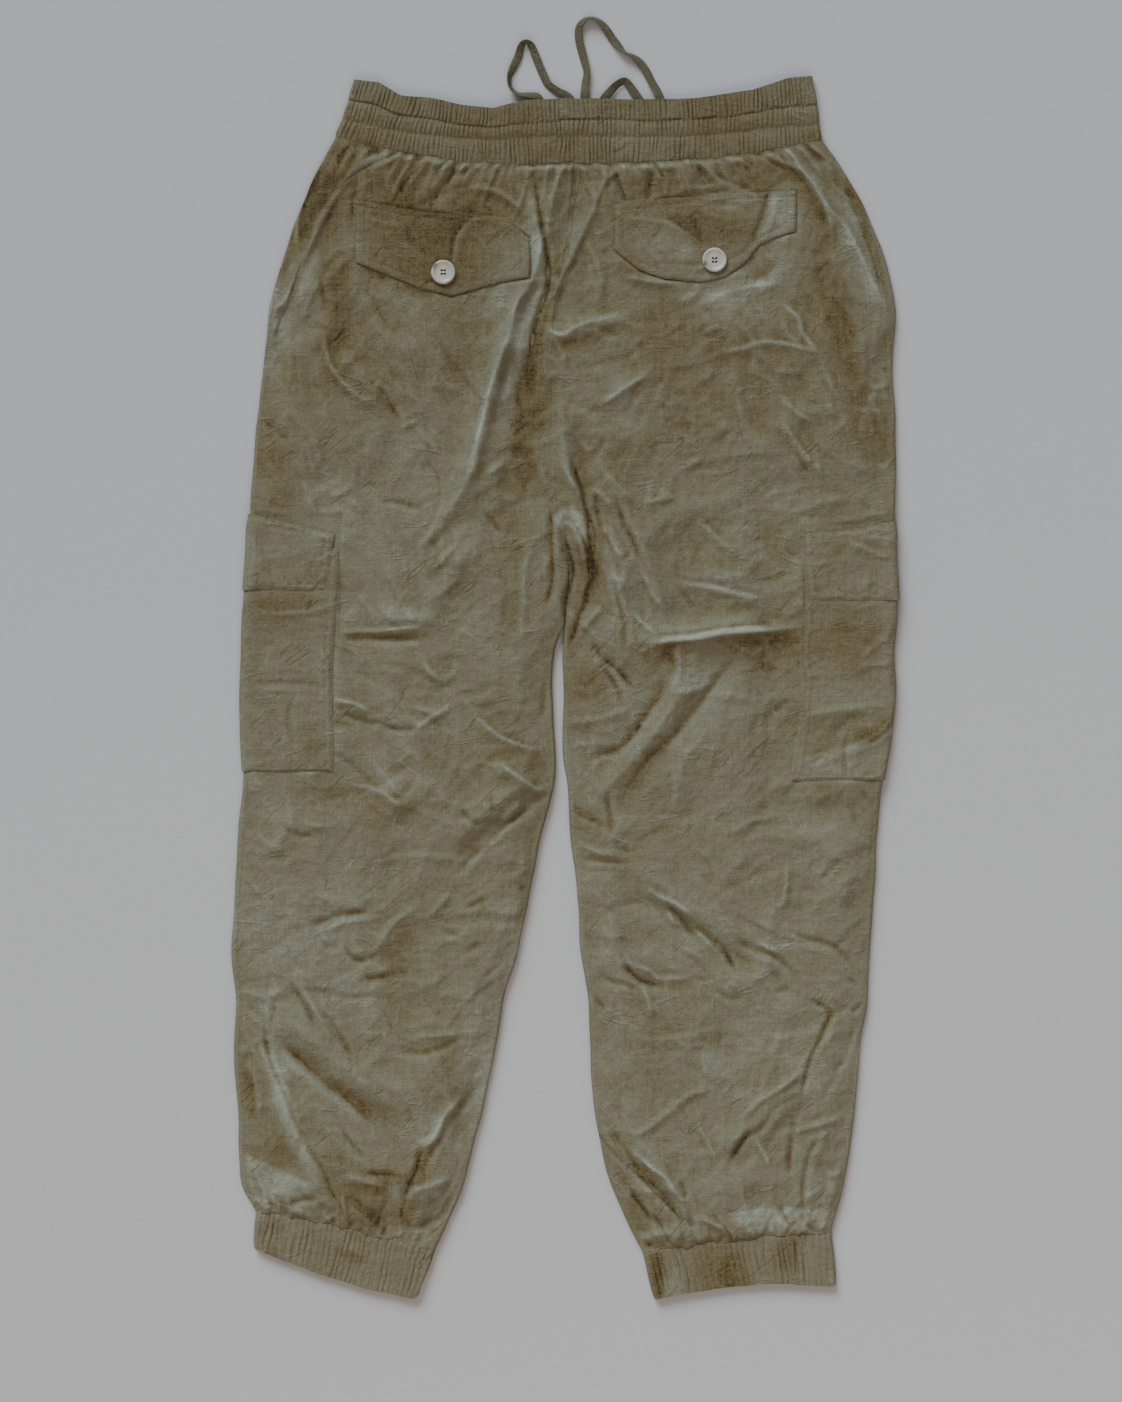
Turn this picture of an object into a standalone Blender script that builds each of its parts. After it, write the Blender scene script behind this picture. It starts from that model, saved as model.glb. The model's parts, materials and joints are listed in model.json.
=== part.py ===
"""Cargo joggers laid flat with the back side up.

Every cut-and-sewn piece is a wall of cloth with its own thickness. Each leg, with its half of the
seat, is a flattened tube. A row of a Section table gives one cross-section of it, from the outline
at the side to the centre seam or the inseam, and the front and back panels are two strips of that
tube, 0.3 mm apart at their seams. Pockets and flaps are made from the tube's own points, moved out.

X runs across the garment, +Y towards the waist and +Z up from the surface that it lies on. The
origin is on that surface, under the middle of the garment. All sizes in the tables are millimetres.
"""
import math
from collections import namedtuple

import bmesh
import bpy
from mathutils import Vector

MM = 0.001
COLLECTION_NAME = "cargo_joggers"

# ------------------------------------------------------------------ driving sizes (mm)
WALL = 1.2                # cloth of the panels, pockets and flaps
BAND_WALL = 1.8           # folded cloth with elastic, in the waistband and the cuffs
SEAM_GAP = 0.3            # between neighbouring pieces
EDGE_RADIUS = 2.9         # roll of the cloth at the outline
EDGE_HEIGHT = 2 * EDGE_RADIUS
EDGE_FADE = 30.0          # how far in from the outline folds and swell reach full height
LEAST_HEIGHT = 2 * WALL + 2 * SEAM_GAP   # outer face of the back over the front, in the deepest trough

CROTCH = 8                # section at which the two legs part
ROW_STEP = 0.5            # panel rows for each section
FLAT_COLUMNS = 17         # columns of a back panel between its seams
ROLL_COLUMNS = 2          # columns round the quarter roll at the inseam
ROLL_ANGLES = (-90, -45, 0, 45, 90)      # columns round the outline, degrees from its middle
FLOOR_STOPS = (80.0, 110.0)              # columns of a front panel, from the outline

WAIST_GATHERS = 84
CUFF_GATHERS = 24
GATHER_DEPTH = 1.2
STITCH_DIP = 0.6          # the band is drawn in along its rows of elastic stitching

POCKET_HALF_WIDTH = 73.0  # cargo pocket, each way from the side seam
POCKET_BELOW_FLAP = 12.0  # the pocket's mouth, below the seam of its flap
FLAP_SEAM = 10.0          # length over which a flap climbs from its seam over its pocket

BUTTON_RADIUS = 9.75
BUTTON_RIM = 3.2
BUTTON_DISH = 2.2
HOLE_RADIUS = 0.9
HOLE_OFFSET = 2.0
HOLE_COUNT = 4

TIE_WIDTH = 5.6           # flat self-fabric drawstring
TIE_THICKNESS = 1.4
TIE_SIDES = 8
TIE_STEPS = 3             # spline points for each row of its table

# ------------------------------------------------------------------ tables
# One cross-section of a leg: its points on the outline (outer) and on the centre seam or the inseam
# (inner), the sideways bow of the line between them, how far the side seam lies inside the outline
# on the back, how far the cloth swells above its edge, and how much it rolls under at the inner end.
Section = namedtuple("Section", "outer_x outer_y inner_x inner_y bow inset rise curl")

LEFT_LEG = (
    Section(-184, 442, 7.5, 421, -8.0, 51, 1.0, 0),
    Section(-203, 407, 5.5, 400, -4.0, 26, 3.0, 0),
    Section(-222, 359, 1, 359, -2.0, 18, 4.0, 0),
    Section(-236, 311, -8, 311, 0.0, 15, 4.5, 0),
    Section(-242, 263, -11.5, 263, 0.0, 4, 4.5, 0),
    Section(-248, 207, -11, 207, 0.0, 4, 4.5, 0),
    Section(-252, 159, -8, 159, 0.0, 4, 4.0, 0),
    Section(-254, 111, -2, 111, 0.0, 4, 4.0, 0),
    Section(-257, 63, 0, 61, 0.0, 4, 4.0, 0),
    Section(-259, 31, -8, 31, 0.0, 4, 4.0, 1),
    Section(-260, -1, -11, -1, 0.0, 4, 3.5, 1),
    Section(-259, -49, -8, -49, 0.0, 4, 3.5, 1),
    Section(-259, -77, -9, -77, 0.0, 4, 3.5, 1),
    Section(-262, -113, -18, -113, 0.0, 4, 4.0, 1),
    Section(-265, -161, -28, -161, 0.0, 4, 4.0, 1),
    Section(-268, -209, -38, -209, 0.0, 4, 4.0, 1),
    Section(-265, -249, -49, -249, 0.0, 4, 4.0, 1),
    Section(-266, -289, -56, -289, 0.0, 4, 4.5, 1),
    Section(-263, -329, -64, -329, 0.0, 4, 5.0, 1),
    Section(-262, -369, -75, -371, 0.0, 4, 5.5, 1),
    Section(-260, -397, -84, -405, 0.0, 4, 5.0, 1),
    Section(-248, -419, -105, -451, 2.4, 4, 1.0, 1),
)

RIGHT_LEG = (
    Section(205, 440, 7.5, 421, -6.0, 13, 1.0, 0),
    Section(228, 407, 5.5, 400, -4.0, 12, 3.0, 0),
    Section(251, 359, 1, 359, -2.0, 9, 4.0, 0),
    Section(264, 311, -8, 311, 0.0, 10, 4.5, 0),
    Section(262, 259, -11.5, 263, 0.0, 4, 4.5, 0),
    Section(265, 207, -11, 207, 0.0, 4, 4.5, 0),
    Section(264, 151, -8, 159, 0.0, 4, 4.0, 0),
    Section(263, 107, -2, 111, 0.0, 4, 4.0, 0),
    Section(265, 67, 0, 61, 0.0, 4, 4.0, 0),
    Section(262, 27, -2, 31, 0.0, 4, 4.0, 1),
    Section(264, -1, -2, -1, 0.0, 4, 3.5, 1),
    Section(259, -49, -2, -49, 0.0, 4, 3.5, 1),
    Section(254, -77, 1, -77, 0.0, 4, 3.5, 1),
    Section(250, -113, 3, -113, 0.0, 4, 4.0, 1),
    Section(248, -161, 9, -161, 0.0, 4, 4.0, 1),
    Section(244, -209, 12, -209, 0.0, 4, 4.0, 1),
    Section(242, -249, 18, -249, 0.0, 4, 4.0, 1),
    Section(236, -289, 20, -289, 0.0, 4, 4.5, 1),
    Section(233, -329, 22, -329, 0.0, 4, 5.0, 1),
    Section(228, -369, 29, -369, 0.0, 4, 5.5, 1),
    Section(222, -405, 39, -405, 0.0, 4, 5.0, 1),
    Section(213, -436, 62, -452, 2.4, 4, 1.0, 1),
)

# The upper edge of the waistband, by the place on the waist seam from which it rises.
BandEdge = namedtuple("BandEdge", "seam_x top_x top_y")
WAIST_EDGE = (
    BandEdge(-184, -169, 488),
    BandEdge(-163, -150, 486),
    BandEdge(-144, -132, 476),
    BandEdge(-120, -110, 473),
    BandEdge(-90, -84, 468),
    BandEdge(-58, -58, 465),
    BandEdge(-30, -30, 472),
    BandEdge(2, 2, 473),
    BandEdge(60, 60, 472),
    BandEdge(110, 108, 473),
    BandEdge(150, 150, 480),
    BandEdge(180, 178, 489),
    BandEdge(205, 198, 491),
)

# The free edge of a cuff, from its outer to its inner corner, and its bow.
CuffEdge = namedtuple("CuffEdge", "outer_x outer_y inner_x inner_y bow")
LEFT_CUFF = CuffEdge(-250, -449, -117, -490, -4.0)
RIGHT_CUFF = CuffEdge(217, -480, 71, -491, 7.0)

# Folds of the cloth, as raised (or, below zero, sunken) bows from one end to the other.
Fold = namedtuple("Fold", "x1 y1 x2 y2 bow height width")
FOLDS = (
    # seat, from the waist towards the crotch
    Fold(-4, 416, -64, 215, -6, 8.0, 12),
    Fold(-66, 208, -90, 145, 0, 4.5, 11),
    Fold(-17, 330, -43, 180, 0, -4.0, 10),
    Fold(56, 423, 6, 341, -8, 6.0, 10),
    Fold(23, 365, 30, 295, 0, 4.5, 10),
    Fold(-16, 281, 45, 303, 0, 4.5, 9),
    Fold(32, 229, 69, 255, 0, 3.5, 9),
    Fold(-2, 205, 16, 100, 0, 6.0, 9),
    Fold(10, 215, 22, 92, 0, -5.0, 9),
    Fold(37, 130, 48, 40, 0, 5.5, 10),
    Fold(28, 178, 78, 61, 5, 3.5, 9),
    Fold(-48, 183, -92, 137, 0, 3.5, 9),
    Fold(-70, 122, -108, 70, 0, 4.0, 12),
    Fold(-184, 267, -150, 226, 4, 4.0, 11),
    # right thigh
    Fold(70, 42, 188, 51, 4, 6.0, 10),
    Fold(90, 60, 165, 66, 0, -3.5, 11),
    Fold(100, 90, 170, 80, 0, 3.5, 10),
    Fold(133, 23, 48, -89, 0, -5.0, 10),
    Fold(100, 14, 30, -82, 6, 5.0, 12),
    Fold(77, 7, 12, -77, 8, -4.5, 9),
    # left thigh
    Fold(-180, 44, -110, 40, 0, -4.5, 10),
    Fold(-178, 58, -106, 55, 0, 4.0, 10),
    Fold(-186, 0, -104, -38, 4, 4.0, 11),
    Fold(-56, -62, -16, -76, 0, 4.5, 9),
    Fold(-18, -82, -90, -141, -3, -5.5, 9),
    Fold(-26, -72, -84, -118, -3, 5.0, 11),
    Fold(-160, -53, -132, -98, 0, 4.0, 11),
    # lower right leg
    Fold(66, -150, 140, -205, 0, 5.0, 12),
    Fold(66, -170, 138, -219, 0, -4.5, 10),
    Fold(48, -222, 100, -238, 0, -4.5, 11),
    Fold(184, -318, 128, -365, 4, 5.0, 12),
    Fold(188, -332, 132, -384, 4, -5.0, 10),
    Fold(56, -362, 98, -412, 4, 5.0, 10),
    Fold(40, -340, 84, -424, 0, -4.5, 9),
    # lower left leg
    Fold(-204, -190, -150, -174, 0, -4.0, 10),
    Fold(-148, -208, -118, -174, 0, 4.0, 10),
    Fold(-220, -268, -140, -330, 0, 5.0, 12),
    Fold(-226, -283, -144, -349, 0, -5.5, 10),
    Fold(-84, -330, -118, -392, 0, 5.0, 11),
    Fold(-70, -324, -128, -410, -4, -5.0, 9),
)

# Calm ground under flaps and pockets: its box, and how far the cloth there swells above its edge.
Calm = namedtuple("Calm", "left right bottom top rise")
CALM_ZONES = (
    Calm(-168, -29, 314, 392, 3.0),
    Calm(38, 184, 325, 400, 3.0),
    Calm(-300, -184, -66, 142, 0.0),
    Calm(186, 300, -76, 136, 0.0),
)
CALM_MARGIN = 20.0
CALM_FADE = 25.0

# The legs are lifted where the front half of a cargo pocket, and then of its flap, lies under them.
Lift = namedtuple("Lift", "section height")
LIFTS = (Lift(5.5, 0.0), Lift(6.0, 3.0), Lift(8.0, 3.0), Lift(8.5, 1.5), Lift(12.0, 1.5), Lift(12.5, 0.0))

# A cargo pocket and its flap, by section: where the flap's seam meets the outline and ends beside it,
# the flap's lower edge, its reach from the outline at the seam and at the lower edge, and the
# pocket's lower edge.
CargoPocket = namedtuple("CargoPocket", "seam_middle seam_end flap_end seam_reach flap_reach pocket_end")
LEFT_CARGO = CargoPocket(6.40, 6.72, 7.65, 69, 64, 11.60)
RIGHT_CARGO = CargoPocket(6.38, 6.64, 7.90, 72, 71, 11.88)

# A back pocket's flap, from left to right: its seam and its pointed lower edge.
FlapStation = namedtuple("FlapStation", "x top bottom")
LEFT_FLAP = (
    FlapStation(-168, 392, 341),
    FlapStation(-141, 387, 330),
    FlapStation(-116, 382, 320),
    FlapStation(-92, 380, 314),
    FlapStation(-66, 377, 321),
    FlapStation(-44, 372, 326),
    FlapStation(-29, 361, 329),
)
RIGHT_FLAP = (
    FlapStation(39, 387, 351),
    FlapStation(59, 390, 335),
    FlapStation(80, 392, 327),
    FlapStation(108, 394, 325),
    FlapStation(128, 396, 329),
    FlapStation(144, 397, 340),
    FlapStation(156, 397, 355),
    FlapStation(169, 398, 361),
    FlapStation(184, 399, 366),
)
BACK_FLAP_ROWS = 4
BACK_FLAP_BELLY = 0.8     # the flap's outer face is fuller in its middle

LEFT_BUTTON = (-97.7, 332.8)
RIGHT_BUTTON = (119.2, 342.6)

# A drawstring's free end: its route, how high its middle lies above what carries it, and its roll
# about its own line, in degrees from lying flat.
TiePoint = namedtuple("TiePoint", "x y height roll")
LEFT_TIE = (
    TiePoint(5, 447, 2.9, 0),
    TiePoint(6, 458, 2.9, 0),
    TiePoint(6, 467, 2.9, 0),
    TiePoint(3, 474, 2.9, 0),
    TiePoint(-6, 479, 2.6, 25),
    TiePoint(-14, 485, 2.4, 30),
    TiePoint(-18, 493, 1.7, 14),
    TiePoint(-23, 505, 1.6, 10),
    TiePoint(-27, 515, 2.4, 35),
    TiePoint(-31, 519, 3.1, 72),
    TiePoint(-35, 516, 2.5, 40),
    TiePoint(-38, 507, 1.7, 14),
    TiePoint(-42, 498, 2.1, 25),
    TiePoint(-45, 490, 2.9, 58),
    TiePoint(-44, 482, 3.1, 66),
    TiePoint(-38, 477, 3.1, 60),
    TiePoint(-29, 476, 2.9, 40),
    TiePoint(-22, 474, 2.9, 8),
    TiePoint(-19, 466, 2.9, 0),
    TiePoint(-23, 456, 2.9, 0),
    TiePoint(-33, 450, 2.9, 0),
    TiePoint(-46, 448, 2.9, 0),
)
RIGHT_TIE = (
    TiePoint(16, 447, 2.9, 0),
    TiePoint(16, 460, 2.9, 0),
    TiePoint(15, 472, 2.9, 0),
    TiePoint(16, 484, 2.2, 12),
    TiePoint(17, 495, 2.5, 40),
    TiePoint(14, 508, 1.9, 15),
    TiePoint(11, 520, 1.7, 8),
    TiePoint(11, 530, 2.0, 22),
    TiePoint(15, 536, 2.7, 50),
    TiePoint(20, 538, 3.1, 66),
    TiePoint(26, 536, 2.8, 52),
    TiePoint(32, 530, 1.9, 20),
    TiePoint(38, 521, 1.4, 0),
    TiePoint(43, 515, 2.1, 30),
    TiePoint(48, 510, 3.1, 66),
    TiePoint(54, 507, 2.7, 48),
    TiePoint(60, 502, 1.8, 15),
    TiePoint(65, 495, 1.5, 5),
    TiePoint(69, 487, 1.8, 12),
    TiePoint(74, 478, 2.6, 12),
    TiePoint(77, 469, 2.9, 0),
    TiePoint(74, 461, 2.9, 0),
    TiePoint(66, 461, 2.9, 0),
    TiePoint(61, 470, 2.9, 0),
    TiePoint(54, 480, 2.2, 10),
    TiePoint(48, 487, 2.4, 32),
    TiePoint(42, 485, 2.6, 36),
    TiePoint(35, 478, 2.7, 12),
    TiePoint(29, 470, 2.9, 0),
    TiePoint(26, 459, 2.9, 0),
    TiePoint(32, 450, 2.9, 0),
)

# ------------------------------------------------------------------ colours
CLOTH_COLOUR = (0.095, 0.088, 0.062, 1.0)
TIE_COLOUR = (0.045, 0.042, 0.030, 1.0)
BUTTON_COLOUR = (0.74, 0.70, 0.60, 1.0)


# ------------------------------------------------------------------ numbers
def mix(first, second, share):
    return first + (second - first) * share


def smooth(value):
    value = min(max(value, 0.0), 1.0)
    return value * value * (3.0 - 2.0 * value)


def between(rows, key, value):
    """The pair of neighbouring rows that hold a value of the key column, and its share of the way."""
    for first, second in zip(rows, rows[1:]):
        if value <= getattr(second, key):
            break
    start, end = getattr(first, key), getattr(second, key)
    return first, second, min(max((value - start) / (end - start), 0.0), 1.0)


def read(rows, key, value, column):
    first, second, share = between(rows, key, value)
    return mix(getattr(first, column), getattr(second, column), share)


def through(values, position):
    """Smooth curve through a row of values, read at a fractional place along it."""
    index = min(int(position), len(values) - 2)
    share = position - index
    before = values[max(index - 1, 0)]
    first, second = values[index], values[index + 1]
    after = values[min(index + 2, len(values) - 1)]
    slope_in = (second - before) / 2
    slope_out = (after - first) / 2
    square, cube = share ** 2, share ** 3
    return ((2 * cube - 3 * square + 1) * first + (cube - 2 * square + share) * slope_in
            + (3 * square - 2 * cube) * second + (cube - square) * slope_out)


# ------------------------------------------------------------------ the flattened tube of a leg
def section_at(leg, place):
    """The leg's cross-section at a fractional place. The centre seam runs straight from row to row."""
    values = {name: through([getattr(row, name) for row in leg], place) for name in Section._fields}
    if place < CROTCH:
        index = int(place)
        for name in ("inner_x", "inner_y", "rise", "curl"):
            values[name] = mix(getattr(leg[index], name), getattr(leg[index + 1], name), place - index)
    values["curl"] = min(max(values["curl"], 0.0), 1.0)
    values["inset"] = max(values["inset"], EDGE_RADIUS + SEAM_GAP)
    return Section(**values)


def panel_places(leg):
    count = round((len(leg) - 1) / ROW_STEP)
    return [step * ROW_STEP for step in range(count + 1)]


def chord_section(leg, place):
    """The cross-section on the straight stretch between two panel rows, for what lies on a panel."""
    last = len(leg) - 1
    below = min(math.floor(place / ROW_STEP) * ROW_STEP, last - ROW_STEP)
    first = section_at(leg, below)
    second = section_at(leg, below + ROW_STEP)
    share = (place - below) / ROW_STEP
    return Section(*[mix(a, b, share) for a, b in zip(first, second)])


def width_of(section):
    return math.hypot(section.inner_x - section.outer_x, section.inner_y - section.outer_y)


def plan_point(section, distance):
    """Place in plan at a distance from the outline, along the section."""
    share = distance / width_of(section)
    x = mix(section.outer_x, section.inner_x, share)
    y = mix(section.outer_y, section.inner_y, share) + section.bow * 4 * share * (1 - share)
    return x, y


def fold_height(x, y):
    total = 0.0
    for fold in FOLDS:
        run_x, run_y = fold.x2 - fold.x1, fold.y2 - fold.y1
        length = math.hypot(run_x, run_y)
        share = ((x - fold.x1) * run_x + (y - fold.y1) * run_y) / length ** 2
        if not -0.2 < share < 1.2:
            continue
        across = ((y - fold.y1) * run_x - (x - fold.x1) * run_y) / length
        across -= fold.bow * 4 * share * (1 - share)
        taper = smooth((share + 0.2) / 0.4) * smooth((1.2 - share) / 0.4)
        total += fold.height * taper * math.exp(-(across / fold.width) ** 2)
    return total


def calm_at(x, y):
    """How calm the ground is, from 0 to 1, and its swell."""
    for zone in CALM_ZONES:
        off_x = max(zone.left - x, x - zone.right, 0.0)
        off_y = max(zone.bottom - y, y - zone.top, 0.0)
        share = 1.0 - smooth((max(off_x, off_y) - CALM_MARGIN) / CALM_FADE)
        if share > 0.0:
            return share, zone.rise
    return 0.0, 0.0


def lift_at(place, distance):
    """How far the leg is lifted off the ground by the pocket that lies under it."""
    full = read(LIFTS, "section", place, "height")
    near, far = FLOOR_STOPS
    return full * min(max((far - distance) / (far - near), 0.0), 1.0)


def back_height(section, place, distance):
    """Height of the back's outer face above the ground."""
    x, y = plan_point(section, distance)
    from_inner = width_of(section) - distance
    edge = smooth((distance - EDGE_RADIUS) / EDGE_FADE)
    edge *= mix(1.0, smooth((from_inner - EDGE_RADIUS) / EDGE_FADE), section.curl)
    calm, calm_rise = calm_at(x, y)
    loose = section.rise + fold_height(x, y)
    height = EDGE_HEIGHT + edge * mix(loose, calm_rise, calm)
    return max(height, LEAST_HEIGHT) + lift_at(place, distance)


def roll_point(section, place, angle, out):
    """A point on the roll of the cloth at the outline; the angle runs from -90, below, to 90, above."""
    turn = math.radians(angle)
    reach = EDGE_RADIUS + out
    distance = EDGE_RADIUS - reach * math.cos(turn)
    x, y = plan_point(section, distance)
    return Vector((x, y, lift_at(place, 0.0) + EDGE_RADIUS + reach * math.sin(turn)))


def back_point(section, place, distance, out):
    x, y = plan_point(section, distance)
    return Vector((x, y, back_height(section, place, distance) + out))


def front_point(section, place, distance, out):
    x, y = plan_point(section, distance)
    return Vector((x, y, lift_at(place, distance) - out))


def inner_turn(section):
    """How far the cloth turns under towards the inseam, in radians. It is flat at the centre seam."""
    return section.curl * (math.pi / 2 - SEAM_GAP / 2 / EDGE_RADIUS)


def inner_end(section, place, path, back, out):
    """A point near the inner seam, by its path from the outline, which rolls over towards the seam."""
    turn = inner_turn(section)
    flat = width_of(section) - SEAM_GAP / 2 - EDGE_RADIUS * math.sin(turn)
    if path <= flat:
        return (back_point if back else front_point)(section, place, path, out)
    angle = (path - flat) / EDGE_RADIUS
    reach = EDGE_RADIUS + out
    x, y = plan_point(section, flat + reach * math.sin(angle))
    if back:
        base = back_height(section, place, flat)
        return Vector((x, y, base - EDGE_RADIUS + reach * math.cos(angle)))
    return Vector((x, y, lift_at(place, flat) + EDGE_RADIUS - reach * math.cos(angle)))


def inner_paths(section):
    """Path of the last flat column and of the inner seam, from the outline."""
    turn = inner_turn(section)
    end = width_of(section) - SEAM_GAP / 2 - EDGE_RADIUS * math.sin(turn) + EDGE_RADIUS * turn
    return end - EDGE_RADIUS * math.pi / 2, end


# ------------------------------------------------------------------ cloth walls
def as_point(vector):
    return Vector(vector) * MM


def cloth_wall(name, outer, inner, closed=False, turned=False):
    """One closed wall between an outer and an inner grid of points, given row by row.

    The rows of a closed wall are rings. A turned wall's rows run the other way round.
    """
    mesh = bmesh.new()
    outer = [[mesh.verts.new(as_point(point)) for point in row] for row in outer]
    inner = [[mesh.verts.new(as_point(point)) for point in row] for row in inner]
    rows, columns = len(outer), len(outer[0])
    steps = columns if closed else columns - 1

    def face(*corners):
        mesh.faces.new(corners[::-1] if turned else corners)

    for row in range(rows - 1):
        for column in range(steps):
            after = (column + 1) % columns
            face(outer[row][column], outer[row + 1][column], outer[row + 1][after], outer[row][after])
            face(inner[row][after], inner[row + 1][after], inner[row + 1][column], inner[row][column])
    for column in range(steps):
        after = (column + 1) % columns
        face(outer[0][after], inner[0][after], inner[0][column], outer[0][column])
        face(outer[-1][column], inner[-1][column], inner[-1][after], outer[-1][after])
    if not closed:
        for row in range(rows - 1):
            face(outer[row][0], inner[row][0], inner[row + 1][0], outer[row + 1][0])
            face(outer[row + 1][-1], inner[row + 1][-1], inner[row][-1], outer[row][-1])
    data = bpy.data.meshes.new(name)
    mesh.to_mesh(data)
    mesh.free()
    return data


def back_panel(leg):
    outer, inner = [], []
    for place in panel_places(leg):
        section = section_at(leg, place)
        start = section.inset + SEAM_GAP / 2
        last_flat, end = inner_paths(section)
        paths = [mix(start, last_flat, step / FLAT_COLUMNS) for step in range(FLAT_COLUMNS)]
        paths += [mix(last_flat, end, step / ROLL_COLUMNS) for step in range(ROLL_COLUMNS + 1)]
        outer.append([inner_end(section, place, path, True, 0.0) for path in paths])
        inner.append([inner_end(section, place, path, True, -WALL) for path in paths])
    return outer, inner


def floor_paths(section):
    """Columns of the front, on the ground, from the outline's roll to the last flat one."""
    return [EDGE_RADIUS, *FLOOR_STOPS, inner_paths(section)[0]]


def front_panel(leg):
    """The front lies on the ground, rolls up at the outline and ends at the side seam on the back."""
    outer, inner = [], []
    for place in panel_places(leg):
        section = section_at(leg, place)
        end = inner_paths(section)[1]
        floor = floor_paths(section)
        paths = [mix(end, floor[-1], step / ROLL_COLUMNS) for step in range(ROLL_COLUMNS)]
        paths += floor[:0:-1]
        strip = [mix(EDGE_RADIUS, section.inset - SEAM_GAP / 2, share) for share in (0.5, 1.0)]
        for out, row in ((0.0, outer), (-WALL, inner)):
            points = [inner_end(section, place, path, False, out) for path in paths]
            points += [roll_point(section, place, angle, out) for angle in ROLL_ANGLES]
            points += [back_point(section, place, distance, out) for distance in strip]
            row.append(points)
    return outer, inner


# ------------------------------------------------------------------ waistband and cuffs
# One column of a gathered band: the lines of its seam and of its free edge, its distance along them
# from the outline, the side to which a roll leads from there, the direction in which it faces, as an
# angle from -90, below, to 90, above, and its gather.
BandColumn = namedtuple("BandColumn", "seam_line free_line distance side angle gather")


def band_rows(columns, dips):
    """Outer and inner rings of a gathered band, from its seam to its free edge."""
    outer, inner = [], []
    for row, dip in enumerate(dips):
        share = row / (len(dips) - 1)
        for out, rings in ((0.0, outer), (-BAND_WALL, inner)):
            ring = []
            for column in columns:
                turn = math.radians(column.angle)
                reach = EDGE_RADIUS + out
                distance = column.distance + reach * math.cos(turn) * column.side
                seam, free = column.seam_line(distance), column.free_line(distance)
                z = EDGE_RADIUS + reach * math.sin(turn)
                if out == 0.0 and column.angle == 90:
                    z += column.gather * GATHER_DEPTH - dip
                ring.append(Vector((mix(seam[0], free[0], share), mix(seam[1], free[1], share), z)))
            rings.append(ring)
    return outer, inner


def gathered(count):
    """Shares of the way across a band, two for each gather, and whether each is the gather's crest."""
    return [(step / (2 * count), step % 2) for step in range(2 * count + 1)]


def seam_line(leg, row, gap):
    """The line of a leg's seam with a band, at the band's side of it."""
    section = section_at(leg, row)

    def line(distance):
        x, y = plan_point(section, distance)
        return x, y + gap
    return line


def waist_columns():
    """Round the waistband: across the back from left to right, and across the front back again."""
    columns = []

    def add(leg, distances, angle, side=0):
        seam = seam_line(leg, 0, SEAM_GAP)

        def free(distance):
            seam_x = seam(distance)[0]
            return read(WAIST_EDGE, "seam_x", seam_x, "top_x"), read(WAIST_EDGE, "seam_x", seam_x, "top_y")
        for distance, crest in distances:
            columns.append(BandColumn(seam, free, distance, side, angle, crest))

    left, right = section_at(LEFT_LEG, 0), section_at(RIGHT_LEG, 0)
    shares = gathered(WAIST_GATHERS // 2)
    add(LEFT_LEG, [(mix(EDGE_RADIUS, width_of(left), share), crest) for share, crest in shares], 90)
    add(RIGHT_LEG, [(mix(width_of(right), EDGE_RADIUS, share), crest) for share, crest in shares[1:]], 90)
    for angle in ROLL_ANGLES[-2:0:-1]:
        add(RIGHT_LEG, [(EDGE_RADIUS, 0)], angle, -1)
    add(RIGHT_LEG, [(distance, 0) for distance in floor_paths(right)], -90)
    add(LEFT_LEG, [(distance, 0) for distance in floor_paths(left)[::-1]], -90)
    for angle in ROLL_ANGLES[1:-1]:
        add(LEFT_LEG, [(EDGE_RADIUS, 0)], angle, -1)
    return columns


def cuff_columns(leg, edge):
    """Round a cuff: across the back from the outline to the inseam, and across the front again."""
    row = len(leg) - 1
    section = section_at(leg, row)
    width = width_of(section)
    far = width - EDGE_RADIUS
    seam = seam_line(leg, row, -SEAM_GAP)

    def free(distance):
        share = distance / width
        return (mix(edge.outer_x, edge.inner_x, share),
                mix(edge.outer_y, edge.inner_y, share) + edge.bow * 4 * share * (1 - share))

    columns = [BandColumn(seam, free, mix(EDGE_RADIUS, far, share), 0, 90, crest)
               for share, crest in gathered(CUFF_GATHERS)]
    columns += [BandColumn(seam, free, far, 1, angle, 0) for angle in ROLL_ANGLES[-2:0:-1]]
    columns += [BandColumn(seam, free, distance, 0, -90, 0)
                for distance in (far, *floor_paths(section)[-2::-1])]
    columns += [BandColumn(seam, free, EDGE_RADIUS, -1, angle, 0) for angle in ROLL_ANGLES[1:-1]]
    return columns


# ------------------------------------------------------------------ pockets and flaps
def wrap_rows(leg, lines):
    """Outer and inner rows of a piece that wraps round the outline and lies on the leg's cloth.

    Each line is one row: its place at the outline, its place at both ends, its reach from the
    outline, and how far its inner face stands off the leg.
    """
    outer, inner = [], []
    for middle, end, reach, off in lines:
        for out, rows in ((off + WALL, outer), (off, inner)):
            row = []
            for distance in (reach, reach / 2):
                place = mix(middle, end, distance / reach)
                row.append(front_point(chord_section(leg, place), place, distance, out))
            section = chord_section(leg, middle)
            row += [roll_point(section, middle, angle, out) for angle in ROLL_ANGLES]
            for distance in (reach / 2, reach):
                place = mix(middle, end, distance / reach)
                row.append(back_point(chord_section(leg, place), place, distance, out))
            rows.append(row)
    return outer, inner


def section_length(leg, place):
    """Length along the leg that one section spans, near a place."""
    first, second = section_at(leg, place - 0.5), section_at(leg, place + 0.5)
    return abs(first.outer_y - second.outer_y)


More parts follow.
